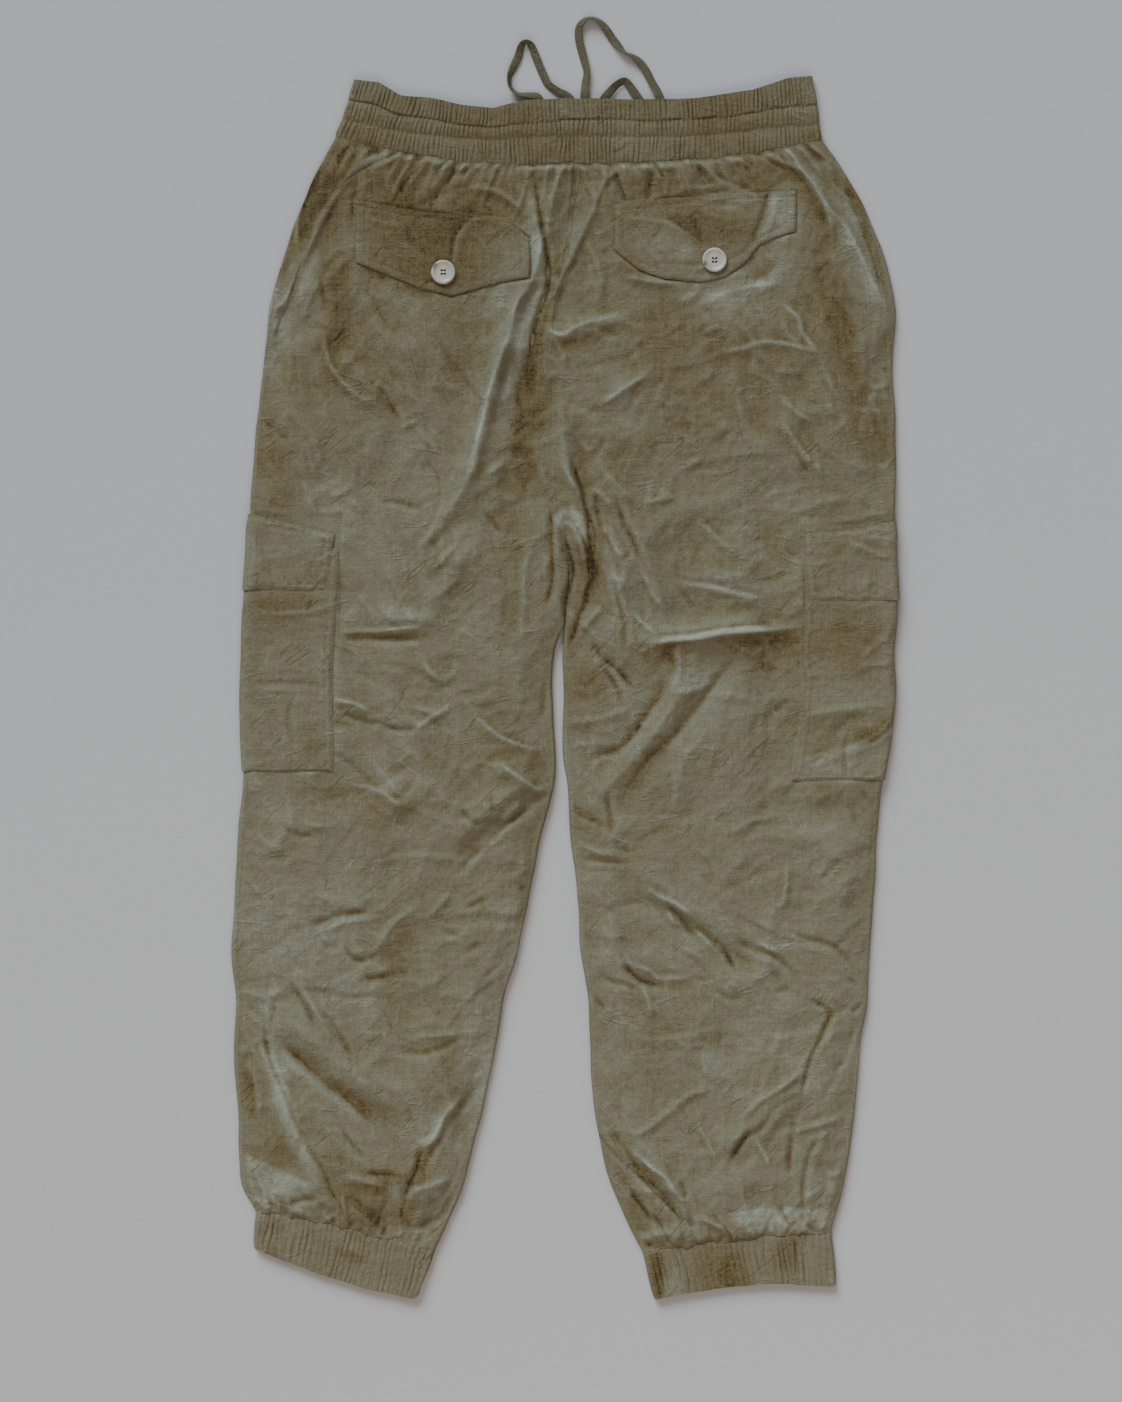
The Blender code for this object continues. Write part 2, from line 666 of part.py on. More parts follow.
def cargo_pocket(leg, cargo):
    below = POCKET_BELOW_FLAP / section_length(leg, cargo.seam_middle)
    start = cargo.seam_end + below
    inside = [place for place in panel_places(leg) if start + 0.1 < place < cargo.pocket_end - 0.05]
    lines = [(place, place, POCKET_HALF_WIDTH, SEAM_GAP) for place in (start, *inside, cargo.pocket_end)]
    return wrap_rows(leg, lines)


def cargo_flap(leg, cargo):
    """The flap climbs from its seam on the leg over the pocket's mouth."""
    over = SEAM_GAP + WALL + SEAM_GAP
    climb = FLAP_SEAM / section_length(leg, cargo.seam_middle)
    lines = [(cargo.seam_middle, cargo.seam_end, cargo.seam_reach, SEAM_GAP)]
    lines.append((cargo.seam_middle + climb, cargo.seam_end + climb, cargo.seam_reach, over))
    for place in panel_places(leg):
        if cargo.seam_end + climb + 0.05 < place < cargo.flap_end - 0.05:
            share = (place - cargo.seam_end) / (cargo.flap_end - cargo.seam_end)
            lines.append((place, place, mix(cargo.seam_reach, cargo.flap_reach, share), over))
    lines.append((cargo.flap_end, cargo.flap_end, cargo.flap_reach, over))
    return wrap_rows(leg, lines)


def back_flap(stations, rise):
    """A pointed flap on calm ground, fuller in its middle."""
    ground = EDGE_HEIGHT + rise + SEAM_GAP
    outer, inner = [], []
    for row in range(BACK_FLAP_ROWS + 1):
        share = row / BACK_FLAP_ROWS
        row_out, row_in = [], []
        for column, station in enumerate(stations):
            y = mix(station.top, station.bottom, share)
            across = column / (len(stations) - 1)
            belly = BACK_FLAP_BELLY * 16 * share * (1 - share) * across * (1 - across)
            row_out.append(Vector((station.x, y, ground + WALL + belly)))
            row_in.append(Vector((station.x, y, ground)))
        outer.append(row_out)
        inner.append(row_in)
    return outer, inner


# ------------------------------------------------------------------ buttons
def turned_profile(name, profile, segments):
    """A solid of revolution about Z, from points (radius, height) down its outer side."""
    mesh = bpy.data.meshes.new(name)
    points = [as_point((radius, 0.0, height)) for radius, height in profile]
    mesh.from_pydata(points, [(index, index + 1) for index in range(len(points) - 1)], [])
    turned = bpy.data.objects.new(name, mesh)
    screw = turned.modifiers.new("turn", "SCREW")
    screw.steps = segments
    screw.render_steps = segments
    screw.use_merge_vertices = True
    screw.merge_threshold = 0.00001
    screw.use_normal_calculate = True
    return turned


def hole_cutter(name):
    mesh = bmesh.new()
    bmesh.ops.create_cone(mesh, cap_ends=True, segments=8, radius1=HOLE_RADIUS * MM,
                          radius2=HOLE_RADIUS * MM, depth=3 * BUTTON_RIM * MM)
    data = bpy.data.meshes.new(name)
    mesh.to_mesh(data)
    mesh.free()
    cutter = bpy.data.objects.new(name, data)
    cutter.hide_render = True
    cutter.display_type = "WIRE"
    return cutter


def button(name, place, ground, material, parts, cutters):
    """A four-hole sew-through button with a dished face and a raised, rounded rim."""
    rim = BUTTON_RIM
    profile = (
        (0.0, BUTTON_DISH),
        (BUTTON_RADIUS * 0.50, BUTTON_DISH),
        (BUTTON_RADIUS * 0.72, BUTTON_DISH + 0.25),
        (BUTTON_RADIUS * 0.82, rim),
        (BUTTON_RADIUS * 0.92, rim),
        (BUTTON_RADIUS, rim * 0.72),
        (BUTTON_RADIUS, rim * 0.35),
        (BUTTON_RADIUS * 0.86, 0.0),
        (0.0, 0.0),
    )
    disc = turned_profile(name, profile, 24)
    disc.location = as_point((place[0], place[1], ground))
    disc.data.materials.append(material)
    parts.objects.link(disc)
    for hole in range(HOLE_COUNT):
        angle = math.tau * (hole + 0.5) / HOLE_COUNT
        cutter = hole_cutter(f"{name}_hole_{hole}")
        cutter.location = disc.location + as_point((HOLE_OFFSET * math.cos(angle),
                                                    HOLE_OFFSET * math.sin(angle), 0.0))
        cutters.objects.link(cutter)
        cut = disc.modifiers.new(f"hole_{hole}", "BOOLEAN")
        cut.operation = "DIFFERENCE"
        cut.object = cutter
    return disc


# ------------------------------------------------------------------ drawstring
def tie_outline(cutters):
    """The tie's flat, round-edged cross-section."""
    curve = bpy.data.curves.new("tie_outline", "CURVE")
    curve.dimensions = "2D"
    spline = curve.splines.new("POLY")
    spline.points.add(TIE_SIDES - 1)
    for index, point in enumerate(spline.points):
        angle = -math.tau * (index + 0.5) / TIE_SIDES
        x, y = TIE_WIDTH / 2 * math.cos(angle), TIE_THICKNESS / 2 * math.sin(angle)
        point.co = (x * MM, y * MM, 0.0, 1.0)
    spline.use_cyclic_u = True
    guide = bpy.data.objects.new("tie_outline", curve)
    guide.hide_render = True
    guide.display_type = "WIRE"
    cutters.objects.link(guide)
    return guide


def drawstring(name, route, outline, material, parts):
    curve = bpy.data.curves.new(name, "CURVE")
    curve.dimensions = "3D"
    curve.twist_mode = "Z_UP"
    curve.bevel_mode = "OBJECT"
    curve.bevel_object = outline
    curve.use_fill_caps = True
    spline = curve.splines.new("POLY")
    count = (len(route) - 1) * TIE_STEPS + 1
    spline.points.add(count - 1)
    for index, point in enumerate(spline.points):
        place = index / TIE_STEPS
        x, y, z, roll = (through([getattr(row, column) for row in route], place)
                         for column in TiePoint._fields)
        point.co = (x * MM, y * MM, z * MM, 1.0)
        point.tilt = math.radians(roll)
    tie = bpy.data.objects.new(name, curve)
    tie.data.materials.append(material)
    parts.objects.link(tie)
    return tie


# ------------------------------------------------------------------ scene
def material(name, colour, roughness):
    made = bpy.data.materials.new(name)
    made.use_nodes = True
    shader = made.node_tree.nodes["Principled BSDF"]
    shader.inputs["Base Color"].default_value = colour
    shader.inputs["Roughness"].default_value = roughness
    shader.inputs["Metallic"].default_value = 0.0
    made.diffuse_color = colour
    return made


def add_cloth(name, grids, parts, closed=False, turned=False):
    data = cloth_wall(name, *grids, closed=closed, turned=turned)
    data.shade_smooth()
    data.set_sharp_from_angle(angle=math.radians(50))
    data.materials.append(material(f"{name}_cloth", CLOTH_COLOUR, 0.9))
    parts.objects.link(bpy.data.objects.new(name, data))


def main():
    for leftover in list(bpy.data.objects):
        bpy.data.objects.remove(leftover, do_unlink=True)
    parts = bpy.data.collections.new(COLLECTION_NAME)
    cutters = bpy.data.collections.new("cutters")
    for collection in (parts, cutters):
        bpy.context.scene.collection.children.link(collection)

    sides = (("left", LEFT_LEG, LEFT_CUFF, LEFT_CARGO, LEFT_FLAP, LEFT_BUTTON, LEFT_TIE, 0),
             ("right", RIGHT_LEG, RIGHT_CUFF, RIGHT_CARGO, RIGHT_FLAP, RIGHT_BUTTON, RIGHT_TIE, 1))
    outline = tie_outline(cutters)
    for side, leg, cuff, cargo, flap, button_place, tie, zone in sides:
        right = side == "right"
        add_cloth(f"back_{side}", back_panel(leg), parts, turned=right)
        add_cloth(f"front_{side}", front_panel(leg), parts, turned=right)
        add_cloth(f"cuff_{side}", band_rows(cuff_columns(leg, cuff), (0.0, 0.0, 0.0)), parts,
                  closed=True, turned=right)
        add_cloth(f"cargo_pocket_{side}", cargo_pocket(leg, cargo), parts, turned=right)
        add_cloth(f"cargo_flap_{side}", cargo_flap(leg, cargo), parts, turned=right)
        add_cloth(f"back_flap_{side}", back_flap(flap, CALM_ZONES[zone].rise), parts)
        belly_top = EDGE_HEIGHT + CALM_ZONES[zone].rise + SEAM_GAP + WALL + BACK_FLAP_BELLY
        button(f"button_{side}", button_place, belly_top + SEAM_GAP,
               material(f"button_{side}_shell", BUTTON_COLOUR, 0.35), parts, cutters)
        drawstring(f"drawstring_{side}", tie, outline,
                   material(f"drawstring_{side}_cloth", TIE_COLOUR, 0.9), parts)
    dips = (0.0, STITCH_DIP, STITCH_DIP, 0.0)
    add_cloth("waistband", band_rows(waist_columns(), dips), parts, closed=True, turned=True)


main()
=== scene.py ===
"""Looks of the cargo joggers: cloth shells with folds, gathers and seams around the CAD frame.

Each leg is a flattened tube, read from a short table of cross-sections, and every cloth piece is a
fine grid on it. A piece's height is the tube's swell, its main folds, and then finer creases and
crumples. Tables are in millimetres, meshes in metres. X runs across, +Y to the waist, +Z up.
"""

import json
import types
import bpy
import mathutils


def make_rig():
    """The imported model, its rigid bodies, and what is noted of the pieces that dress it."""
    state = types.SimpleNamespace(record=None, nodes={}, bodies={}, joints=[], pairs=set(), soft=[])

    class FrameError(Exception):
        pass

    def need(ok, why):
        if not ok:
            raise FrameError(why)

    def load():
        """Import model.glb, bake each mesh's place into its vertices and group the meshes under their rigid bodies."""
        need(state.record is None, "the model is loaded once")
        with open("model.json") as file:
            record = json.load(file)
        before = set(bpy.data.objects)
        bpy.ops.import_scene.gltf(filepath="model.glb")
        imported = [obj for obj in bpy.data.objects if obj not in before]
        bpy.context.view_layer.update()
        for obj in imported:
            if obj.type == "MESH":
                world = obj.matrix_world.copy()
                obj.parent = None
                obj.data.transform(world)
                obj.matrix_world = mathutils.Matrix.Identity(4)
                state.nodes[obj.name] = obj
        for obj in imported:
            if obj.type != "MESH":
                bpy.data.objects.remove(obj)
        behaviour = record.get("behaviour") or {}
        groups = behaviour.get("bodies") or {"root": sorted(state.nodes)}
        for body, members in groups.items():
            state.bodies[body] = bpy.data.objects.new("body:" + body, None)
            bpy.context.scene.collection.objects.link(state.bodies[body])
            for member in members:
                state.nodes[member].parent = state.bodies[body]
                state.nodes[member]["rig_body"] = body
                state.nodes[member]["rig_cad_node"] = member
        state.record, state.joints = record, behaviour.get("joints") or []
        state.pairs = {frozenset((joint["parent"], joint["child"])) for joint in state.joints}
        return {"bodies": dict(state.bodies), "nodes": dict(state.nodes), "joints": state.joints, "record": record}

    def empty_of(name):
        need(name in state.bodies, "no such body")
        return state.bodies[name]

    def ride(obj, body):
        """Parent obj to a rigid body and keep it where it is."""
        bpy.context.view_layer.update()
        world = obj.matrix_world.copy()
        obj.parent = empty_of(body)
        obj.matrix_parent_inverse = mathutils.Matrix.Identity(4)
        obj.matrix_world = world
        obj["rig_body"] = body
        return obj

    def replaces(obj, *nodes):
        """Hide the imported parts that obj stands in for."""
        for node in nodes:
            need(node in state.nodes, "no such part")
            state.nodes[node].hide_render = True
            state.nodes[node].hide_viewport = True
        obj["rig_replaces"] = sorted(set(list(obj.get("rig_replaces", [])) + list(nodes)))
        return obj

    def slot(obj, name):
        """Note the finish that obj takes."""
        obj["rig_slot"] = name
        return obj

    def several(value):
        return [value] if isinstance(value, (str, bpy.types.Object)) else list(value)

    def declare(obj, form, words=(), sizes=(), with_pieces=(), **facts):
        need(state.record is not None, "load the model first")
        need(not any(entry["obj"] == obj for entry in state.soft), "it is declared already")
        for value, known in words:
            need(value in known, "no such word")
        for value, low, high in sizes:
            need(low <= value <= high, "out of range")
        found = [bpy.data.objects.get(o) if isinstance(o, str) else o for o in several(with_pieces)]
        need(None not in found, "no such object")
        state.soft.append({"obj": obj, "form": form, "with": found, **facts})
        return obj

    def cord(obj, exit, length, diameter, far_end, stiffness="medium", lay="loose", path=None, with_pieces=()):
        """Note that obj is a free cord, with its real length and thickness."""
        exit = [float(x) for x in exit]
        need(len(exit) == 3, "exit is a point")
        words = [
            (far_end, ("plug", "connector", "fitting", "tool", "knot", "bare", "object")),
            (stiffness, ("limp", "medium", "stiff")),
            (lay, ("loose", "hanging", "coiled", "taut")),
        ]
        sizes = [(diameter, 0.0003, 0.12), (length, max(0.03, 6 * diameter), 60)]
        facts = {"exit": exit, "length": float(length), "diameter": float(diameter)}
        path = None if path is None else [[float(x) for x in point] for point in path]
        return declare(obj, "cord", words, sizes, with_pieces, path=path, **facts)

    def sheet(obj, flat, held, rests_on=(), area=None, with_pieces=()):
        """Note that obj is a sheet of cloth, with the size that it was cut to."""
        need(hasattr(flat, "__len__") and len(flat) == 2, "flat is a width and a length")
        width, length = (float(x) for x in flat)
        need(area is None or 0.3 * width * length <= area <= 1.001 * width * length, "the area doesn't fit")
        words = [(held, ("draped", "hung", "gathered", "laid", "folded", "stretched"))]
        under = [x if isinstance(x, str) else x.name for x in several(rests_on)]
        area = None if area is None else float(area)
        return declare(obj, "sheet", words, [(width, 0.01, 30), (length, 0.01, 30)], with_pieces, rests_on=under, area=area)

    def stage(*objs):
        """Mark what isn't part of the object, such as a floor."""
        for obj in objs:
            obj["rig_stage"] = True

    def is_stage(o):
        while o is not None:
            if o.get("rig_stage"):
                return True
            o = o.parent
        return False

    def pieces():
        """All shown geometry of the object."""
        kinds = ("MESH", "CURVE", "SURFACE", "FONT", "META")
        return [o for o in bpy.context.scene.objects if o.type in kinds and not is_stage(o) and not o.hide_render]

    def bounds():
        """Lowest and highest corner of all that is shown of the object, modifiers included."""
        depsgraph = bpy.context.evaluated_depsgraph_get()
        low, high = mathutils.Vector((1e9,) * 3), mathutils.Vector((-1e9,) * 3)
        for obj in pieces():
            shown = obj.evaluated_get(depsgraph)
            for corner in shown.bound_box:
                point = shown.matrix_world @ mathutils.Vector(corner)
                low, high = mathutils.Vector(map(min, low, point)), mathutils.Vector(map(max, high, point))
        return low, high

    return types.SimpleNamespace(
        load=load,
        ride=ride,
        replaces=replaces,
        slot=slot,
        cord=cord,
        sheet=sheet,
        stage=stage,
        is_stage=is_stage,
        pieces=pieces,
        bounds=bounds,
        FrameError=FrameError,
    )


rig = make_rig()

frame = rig.load()

import json
import math
import random
from collections import namedtuple

import bmesh
import bpy
import numpy as np
from mathutils import Vector

cad_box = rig.bounds()

MM = 0.001
BODY = "root"
RADIUS = 2.9              # roll of the cloth at the outline
EDGE_HEIGHT = 2 * RADIUS
EDGE_FADE = 30.0          # how far in from the outline the main folds reach full height
FINE_FADE = 9.0           # and the fine creases
SEAM_GAP = 0.04
LAYER = 1.2               # one layer of cloth with its air
LEAST_HEIGHT = 3.6
SHELL = 0.8               # thickness of the shown cloth of the panels
DOUBLED = 1.1             # of the pockets and flaps
BAND_SHELL = 1.2          # and of the bands
CELL = 1.62               # size of the panels' mesh cells
COARSE = 4                # cells of the unseen inner side are this many times larger
CROTCH = 8                # row of a leg's table at the crotch; above it the legs are joined
WAIST_WIDTH = 389         # across the relaxed waistband
WAIST_COLUMNS = 378       # of mesh across one leg's share of the waistband's upper face
CUFF_COLUMNS = 234        # and across a cuff's
ROLL = np.arange(-75, 76, 15.0)    # degrees round an outline, between its lower and its upper face
PAINTED_PATCH_LIMITS = (-1.9, 1.7)          # limits of the painted shading, painted shade and painted light, before the strokes are painted, and after
PAINTED_STROKE_LIMITS = (-2.1, 2.7)
# A cloth's colour value is 0.5 plus its crest and less its painted shading, times these: crests are painted lighter,
# partly wear and partly painted highlight, and crevices darker as painted shade. No painted crevice shade is darker
# than the last.
CREST_PAINTED_SHADING = 0.075
PAINTED_SHADING_WEIGHT = 0.19
DARKEST_PAINTED_SHADE = 0.37


def table(kind, *rows):
    """Rows of plain values, each with its values named."""
    return tuple(kind(*row) for row in rows)


# ------------------------------------------------------------------ tables, as in the CAD model
Section = namedtuple("Section", "outer_x outer_y inner_x inner_y bow inset rise curl")
LEFT_LEG = table(Section,
    (-184, 442, 7.5, 421, -8.0, 51, 1.0, 0),
    (-203, 407, 5.5, 400, -4.0, 26, 3.0, 0),
    (-222, 359, 1, 359, -2.0, 18, 4.0, 0),
    (-236, 311, -8, 311, 0.0, 15, 4.5, 0),
    (-242, 263, -11.5, 263, 0.0, 4, 4.5, 0),
    (-248, 207, -11, 207, 0.0, 4, 4.5, 0),
    (-252, 159, -8, 159, 0.0, 4, 4.0, 0),
    (-254, 111, -2, 111, 0.0, 4, 4.0, 0),
    (-257, 63, 0, 61, 0.0, 4, 4.0, 0),
    (-259, 31, -8, 31, 0.0, 4, 4.0, 1),
    (-260, -1, -11, -1, 0.0, 4, 3.5, 1),
    (-259, -49, -8, -49, 0.0, 4, 3.5, 1),
    (-259, -77, -9, -77, 0.0, 4, 3.5, 1),
    (-262, -113, -18, -113, 0.0, 4, 4.0, 1),
    (-265, -161, -28, -161, 0.0, 4, 4.0, 1),
    (-268, -209, -38, -209, 0.0, 4, 4.0, 1),
    (-265, -249, -49, -249, 0.0, 4, 4.0, 1),
    (-266, -289, -56, -289, 0.0, 4, 4.5, 1),
    (-263, -329, -64, -329, 0.0, 4, 5.0, 1),
    (-262, -369, -75, -371, 0.0, 4, 5.5, 1),
    (-260, -397, -84, -405, 0.0, 4, 5.0, 1),
    (-248, -419, -105, -451, 2.4, 4, 1.0, 1),
)
RIGHT_LEG = table(Section,
    (205, 440, 7.5, 421, -6.0, 13, 1.0, 0),
    (228, 407, 5.5, 400, -4.0, 12, 3.0, 0),
    (251, 359, 1, 359, -2.0, 9, 4.0, 0),
    (264, 311, -8, 311, 0.0, 10, 4.5, 0),
    (262, 259, -11.5, 263, 0.0, 4, 4.5, 0),
    (265, 207, -11, 207, 0.0, 4, 4.5, 0),
    (264, 151, -8, 159, 0.0, 4, 4.0, 0),
    (263, 107, -2, 111, 0.0, 4, 4.0, 0),
    (265, 67, 0, 61, 0.0, 4, 4.0, 0),
    (262, 27, -2, 31, 0.0, 4, 4.0, 1),
    (264, -1, -2, -1, 0.0, 4, 3.5, 1),
    (259, -49, -2, -49, 0.0, 4, 3.5, 1),
    (254, -77, 1, -77, 0.0, 4, 3.5, 1),
    (250, -113, 3, -113, 0.0, 4, 4.0, 1),
    (248, -161, 9, -161, 0.0, 4, 4.0, 1),
    (244, -209, 12, -209, 0.0, 4, 4.0, 1),
    (242, -249, 18, -249, 0.0, 4, 4.0, 1),
    (236, -289, 20, -289, 0.0, 4, 4.5, 1),
    (233, -329, 22, -329, 0.0, 4, 5.0, 1),
    (228, -369, 29, -369, 0.0, 4, 5.5, 1),
    (222, -405, 39, -405, 0.0, 4, 5.0, 1),
    (213, -436, 62, -452, 2.4, 4, 1.0, 1),
)

LAST = len(LEFT_LEG) - 1
SECTION_PITCH = 30.0      # between the last two sections at either end of a leg
WAIST_SEAM_HEIGHT = 6.3   # height at which the panels meet the bands
CUFF_SEAM_HEIGHT = 6.2

BandEdge = namedtuple("BandEdge", "seam_x top_x top_y")
WAIST_EDGE = table(BandEdge,
    (-184, -169, 488), (-163, -150, 486), (-144, -132, 476), (-120, -110, 473), (-90, -84, 468),
    (-58, -58, 465), (-30, -30, 472), (2, 2, 473), (60, 60, 472), (110, 108, 473), (150, 150, 480),
    (180, 178, 489), (205, 198, 491),
)
# The two rows of elastic stitching, as shares of the way from the waist seam to the free edge.
BandStitch = namedtuple("BandStitch", "seam_x lower upper")
WAIST_STITCHES = table(BandStitch,
    (-184, 0.31, 0.65),
    (-69, 0.43, 0.66),
    (73, 0.42, 0.69),
    (160, 0.33, 0.62),
    (205, 0.24, 0.56),
)
WAIST_GATHERS = 84
CUFF_GATHERS = 30
CuffEdge = namedtuple("CuffEdge", "outer_x outer_y inner_x inner_y bow outer_round inner_round")
LEFT_CUFF = CuffEdge(-250, -449, -117, -490, -4.0, 2.5, 8.0)
RIGHT_CUFF = CuffEdge(217, -480, 71, -491, 7.0, 3.0, 4.0)

# Main folds, with the same rows as the CAD model's.
Fold = namedtuple("Fold", "x1 y1 x2 y2 bow height width")
FOLDS = table(Fold,
    # seat, from the waist towards the crotch
    (-4, 416, -64, 215, -6, 8.0, 12),
    (-66, 208, -90, 145, 0, 4.5, 11),
    (-17, 330, -43, 180, 0, -4.0, 10),
    (56, 423, 6, 341, -8, 6.0, 10),
    (23, 365, 30, 295, 0, 4.5, 10),
    (-16, 281, 45, 303, 0, 4.5, 9),
    (32, 229, 69, 255, 0, 3.5, 9),
    (-2, 205, 16, 100, 0, 6.0, 9),
    (10, 215, 22, 92, 0, -5.0, 9),
    (37, 130, 48, 40, 0, 5.5, 10),
    (28, 178, 78, 61, 5, 3.5, 9),
    (-48, 183, -92, 137, 0, 3.5, 9),
    (-70, 122, -108, 70, 0, 4.0, 12),
    (-184, 267, -150, 226, 4, 4.0, 11),
    # right thigh
    (70, 42, 188, 51, 4, 6.0, 10),
    (90, 60, 165, 66, 0, -3.5, 11),
    (100, 90, 170, 80, 0, 3.5, 10),
    (133, 23, 48, -89, 0, -5.0, 10),
    (100, 14, 30, -82, 6, 5.0, 12),
    (77, 7, 12, -77, 8, -4.5, 9),
    # left thigh
    (-180, 44, -110, 40, 0, -4.5, 10),
    (-178, 58, -106, 55, 0, 4.0, 10),
    (-186, 0, -104, -38, 4, 4.0, 11),
    (-56, -62, -16, -76, 0, 4.5, 9),
    (-18, -82, -90, -141, -3, -5.5, 9),
    (-26, -72, -84, -118, -3, 5.0, 11),
    (-160, -53, -132, -98, 0, 4.0, 11),
    # lower right leg
    (66, -150, 140, -205, 0, 5.0, 12),
    (66, -170, 138, -219, 0, -4.5, 10),
    (48, -222, 100, -238, 0, -4.5, 11),
    (184, -318, 128, -365, 4, 5.0, 12),
    (188, -332, 132, -384, 4, -5.0, 10),
    (56, -362, 98, -412, 4, 5.0, 10),
    (40, -340, 84, -424, 0, -4.5, 9),
    # lower left leg
    (-204, -190, -150, -174, 0, -4.0, 10),
    (-148, -208, -118, -174, 0, 4.0, 10),
    (-220, -268, -140, -330, 0, 5.0, 12),
    (-226, -283, -144, -349, 0, -5.5, 10),
    (-84, -330, -118, -392, 0, 5.0, 11),
    (-70, -324, -128, -410, -4, -5.0, 9),
)
RIDGE_SHARE = 0.8         # of the main folds' height, beside the creases on them
GROOVE_SHARE = 0.5
CRISPNESS = 0.30          # height of the crisp crest that a main fold carries, as a share of its own

Calm = namedtuple("Calm", "left right bottom top rise")
CALM_ZONES = table(Calm,
    (-168, -29, 314, 392, 3.0),
    (38, 184, 325, 400, 3.0),
    (-300, -184, -66, 142, 0.0),
    (186, 300, -76, 136, 0.0),
)
CALM_MARGIN = 20.0
CALM_FADE = 25.0

LIFT_PLACES = (5.5, 6.0, 8.0, 8.5, 12.0, 12.5)
LIFT_HEIGHTS = (0.0, 3.0, 3.0, 1.5, 1.5, 0.0)
LIFT_NEAR, LIFT_FAR = 80.0, 110.0

CargoPocket = namedtuple("CargoPocket", "seam_middle seam_end flap_end seam_reach flap_reach pocket_end")
LEFT_CARGO = CargoPocket(6.40, 6.72, 7.65, 69, 64, 11.60)
RIGHT_CARGO = CargoPocket(6.38, 6.64, 7.90, 72, 71, 11.88)
POCKET_REACH = 73.0
POCKET_BELOW_FLAP = 12.0

FlapStation = namedtuple("FlapStation", "x top bottom")
LEFT_FLAP = table(FlapStation,
    (-168, 392, 341), (-141, 387, 330), (-116, 382, 320), (-92, 380, 314), (-66, 377, 321), (-44, 372, 326),
    (-29, 361, 329),
)
RIGHT_FLAP = table(FlapStation,
    (39, 387, 351), (59, 390, 335), (80, 392, 327), (108, 394, 325), (128, 396, 329), (144, 397, 340),
    (156, 397, 355), (169, 398, 361), (184, 399, 366),
)

LEFT_BUTTON = (-97.7, 332.8)
RIGHT_BUTTON = (119.2, 342.6)
# Radius and height of a button's surface, from its dish round the rim to its underside.
BUTTON_PROFILE = ((4.9, 2.2), (6.3, 2.35), (7.3, 2.8), (8.0, 3.14), (8.6, 3.2), (9.2, 3.0), (9.62, 2.5),
                  (9.75, 1.9), (9.7, 1.3), (9.3, 0.7), (8.4, 0.25), (7.4, 0.0))
BUTTON_SIDES = 64
BUTTON_STAND = 0.8                 # over a flap's plain cloth
HOLES = 4
HOLE_RADIUS, HOLE_OFF = 0.9, 2.0   # of each hole, and how far it is from the button's middle

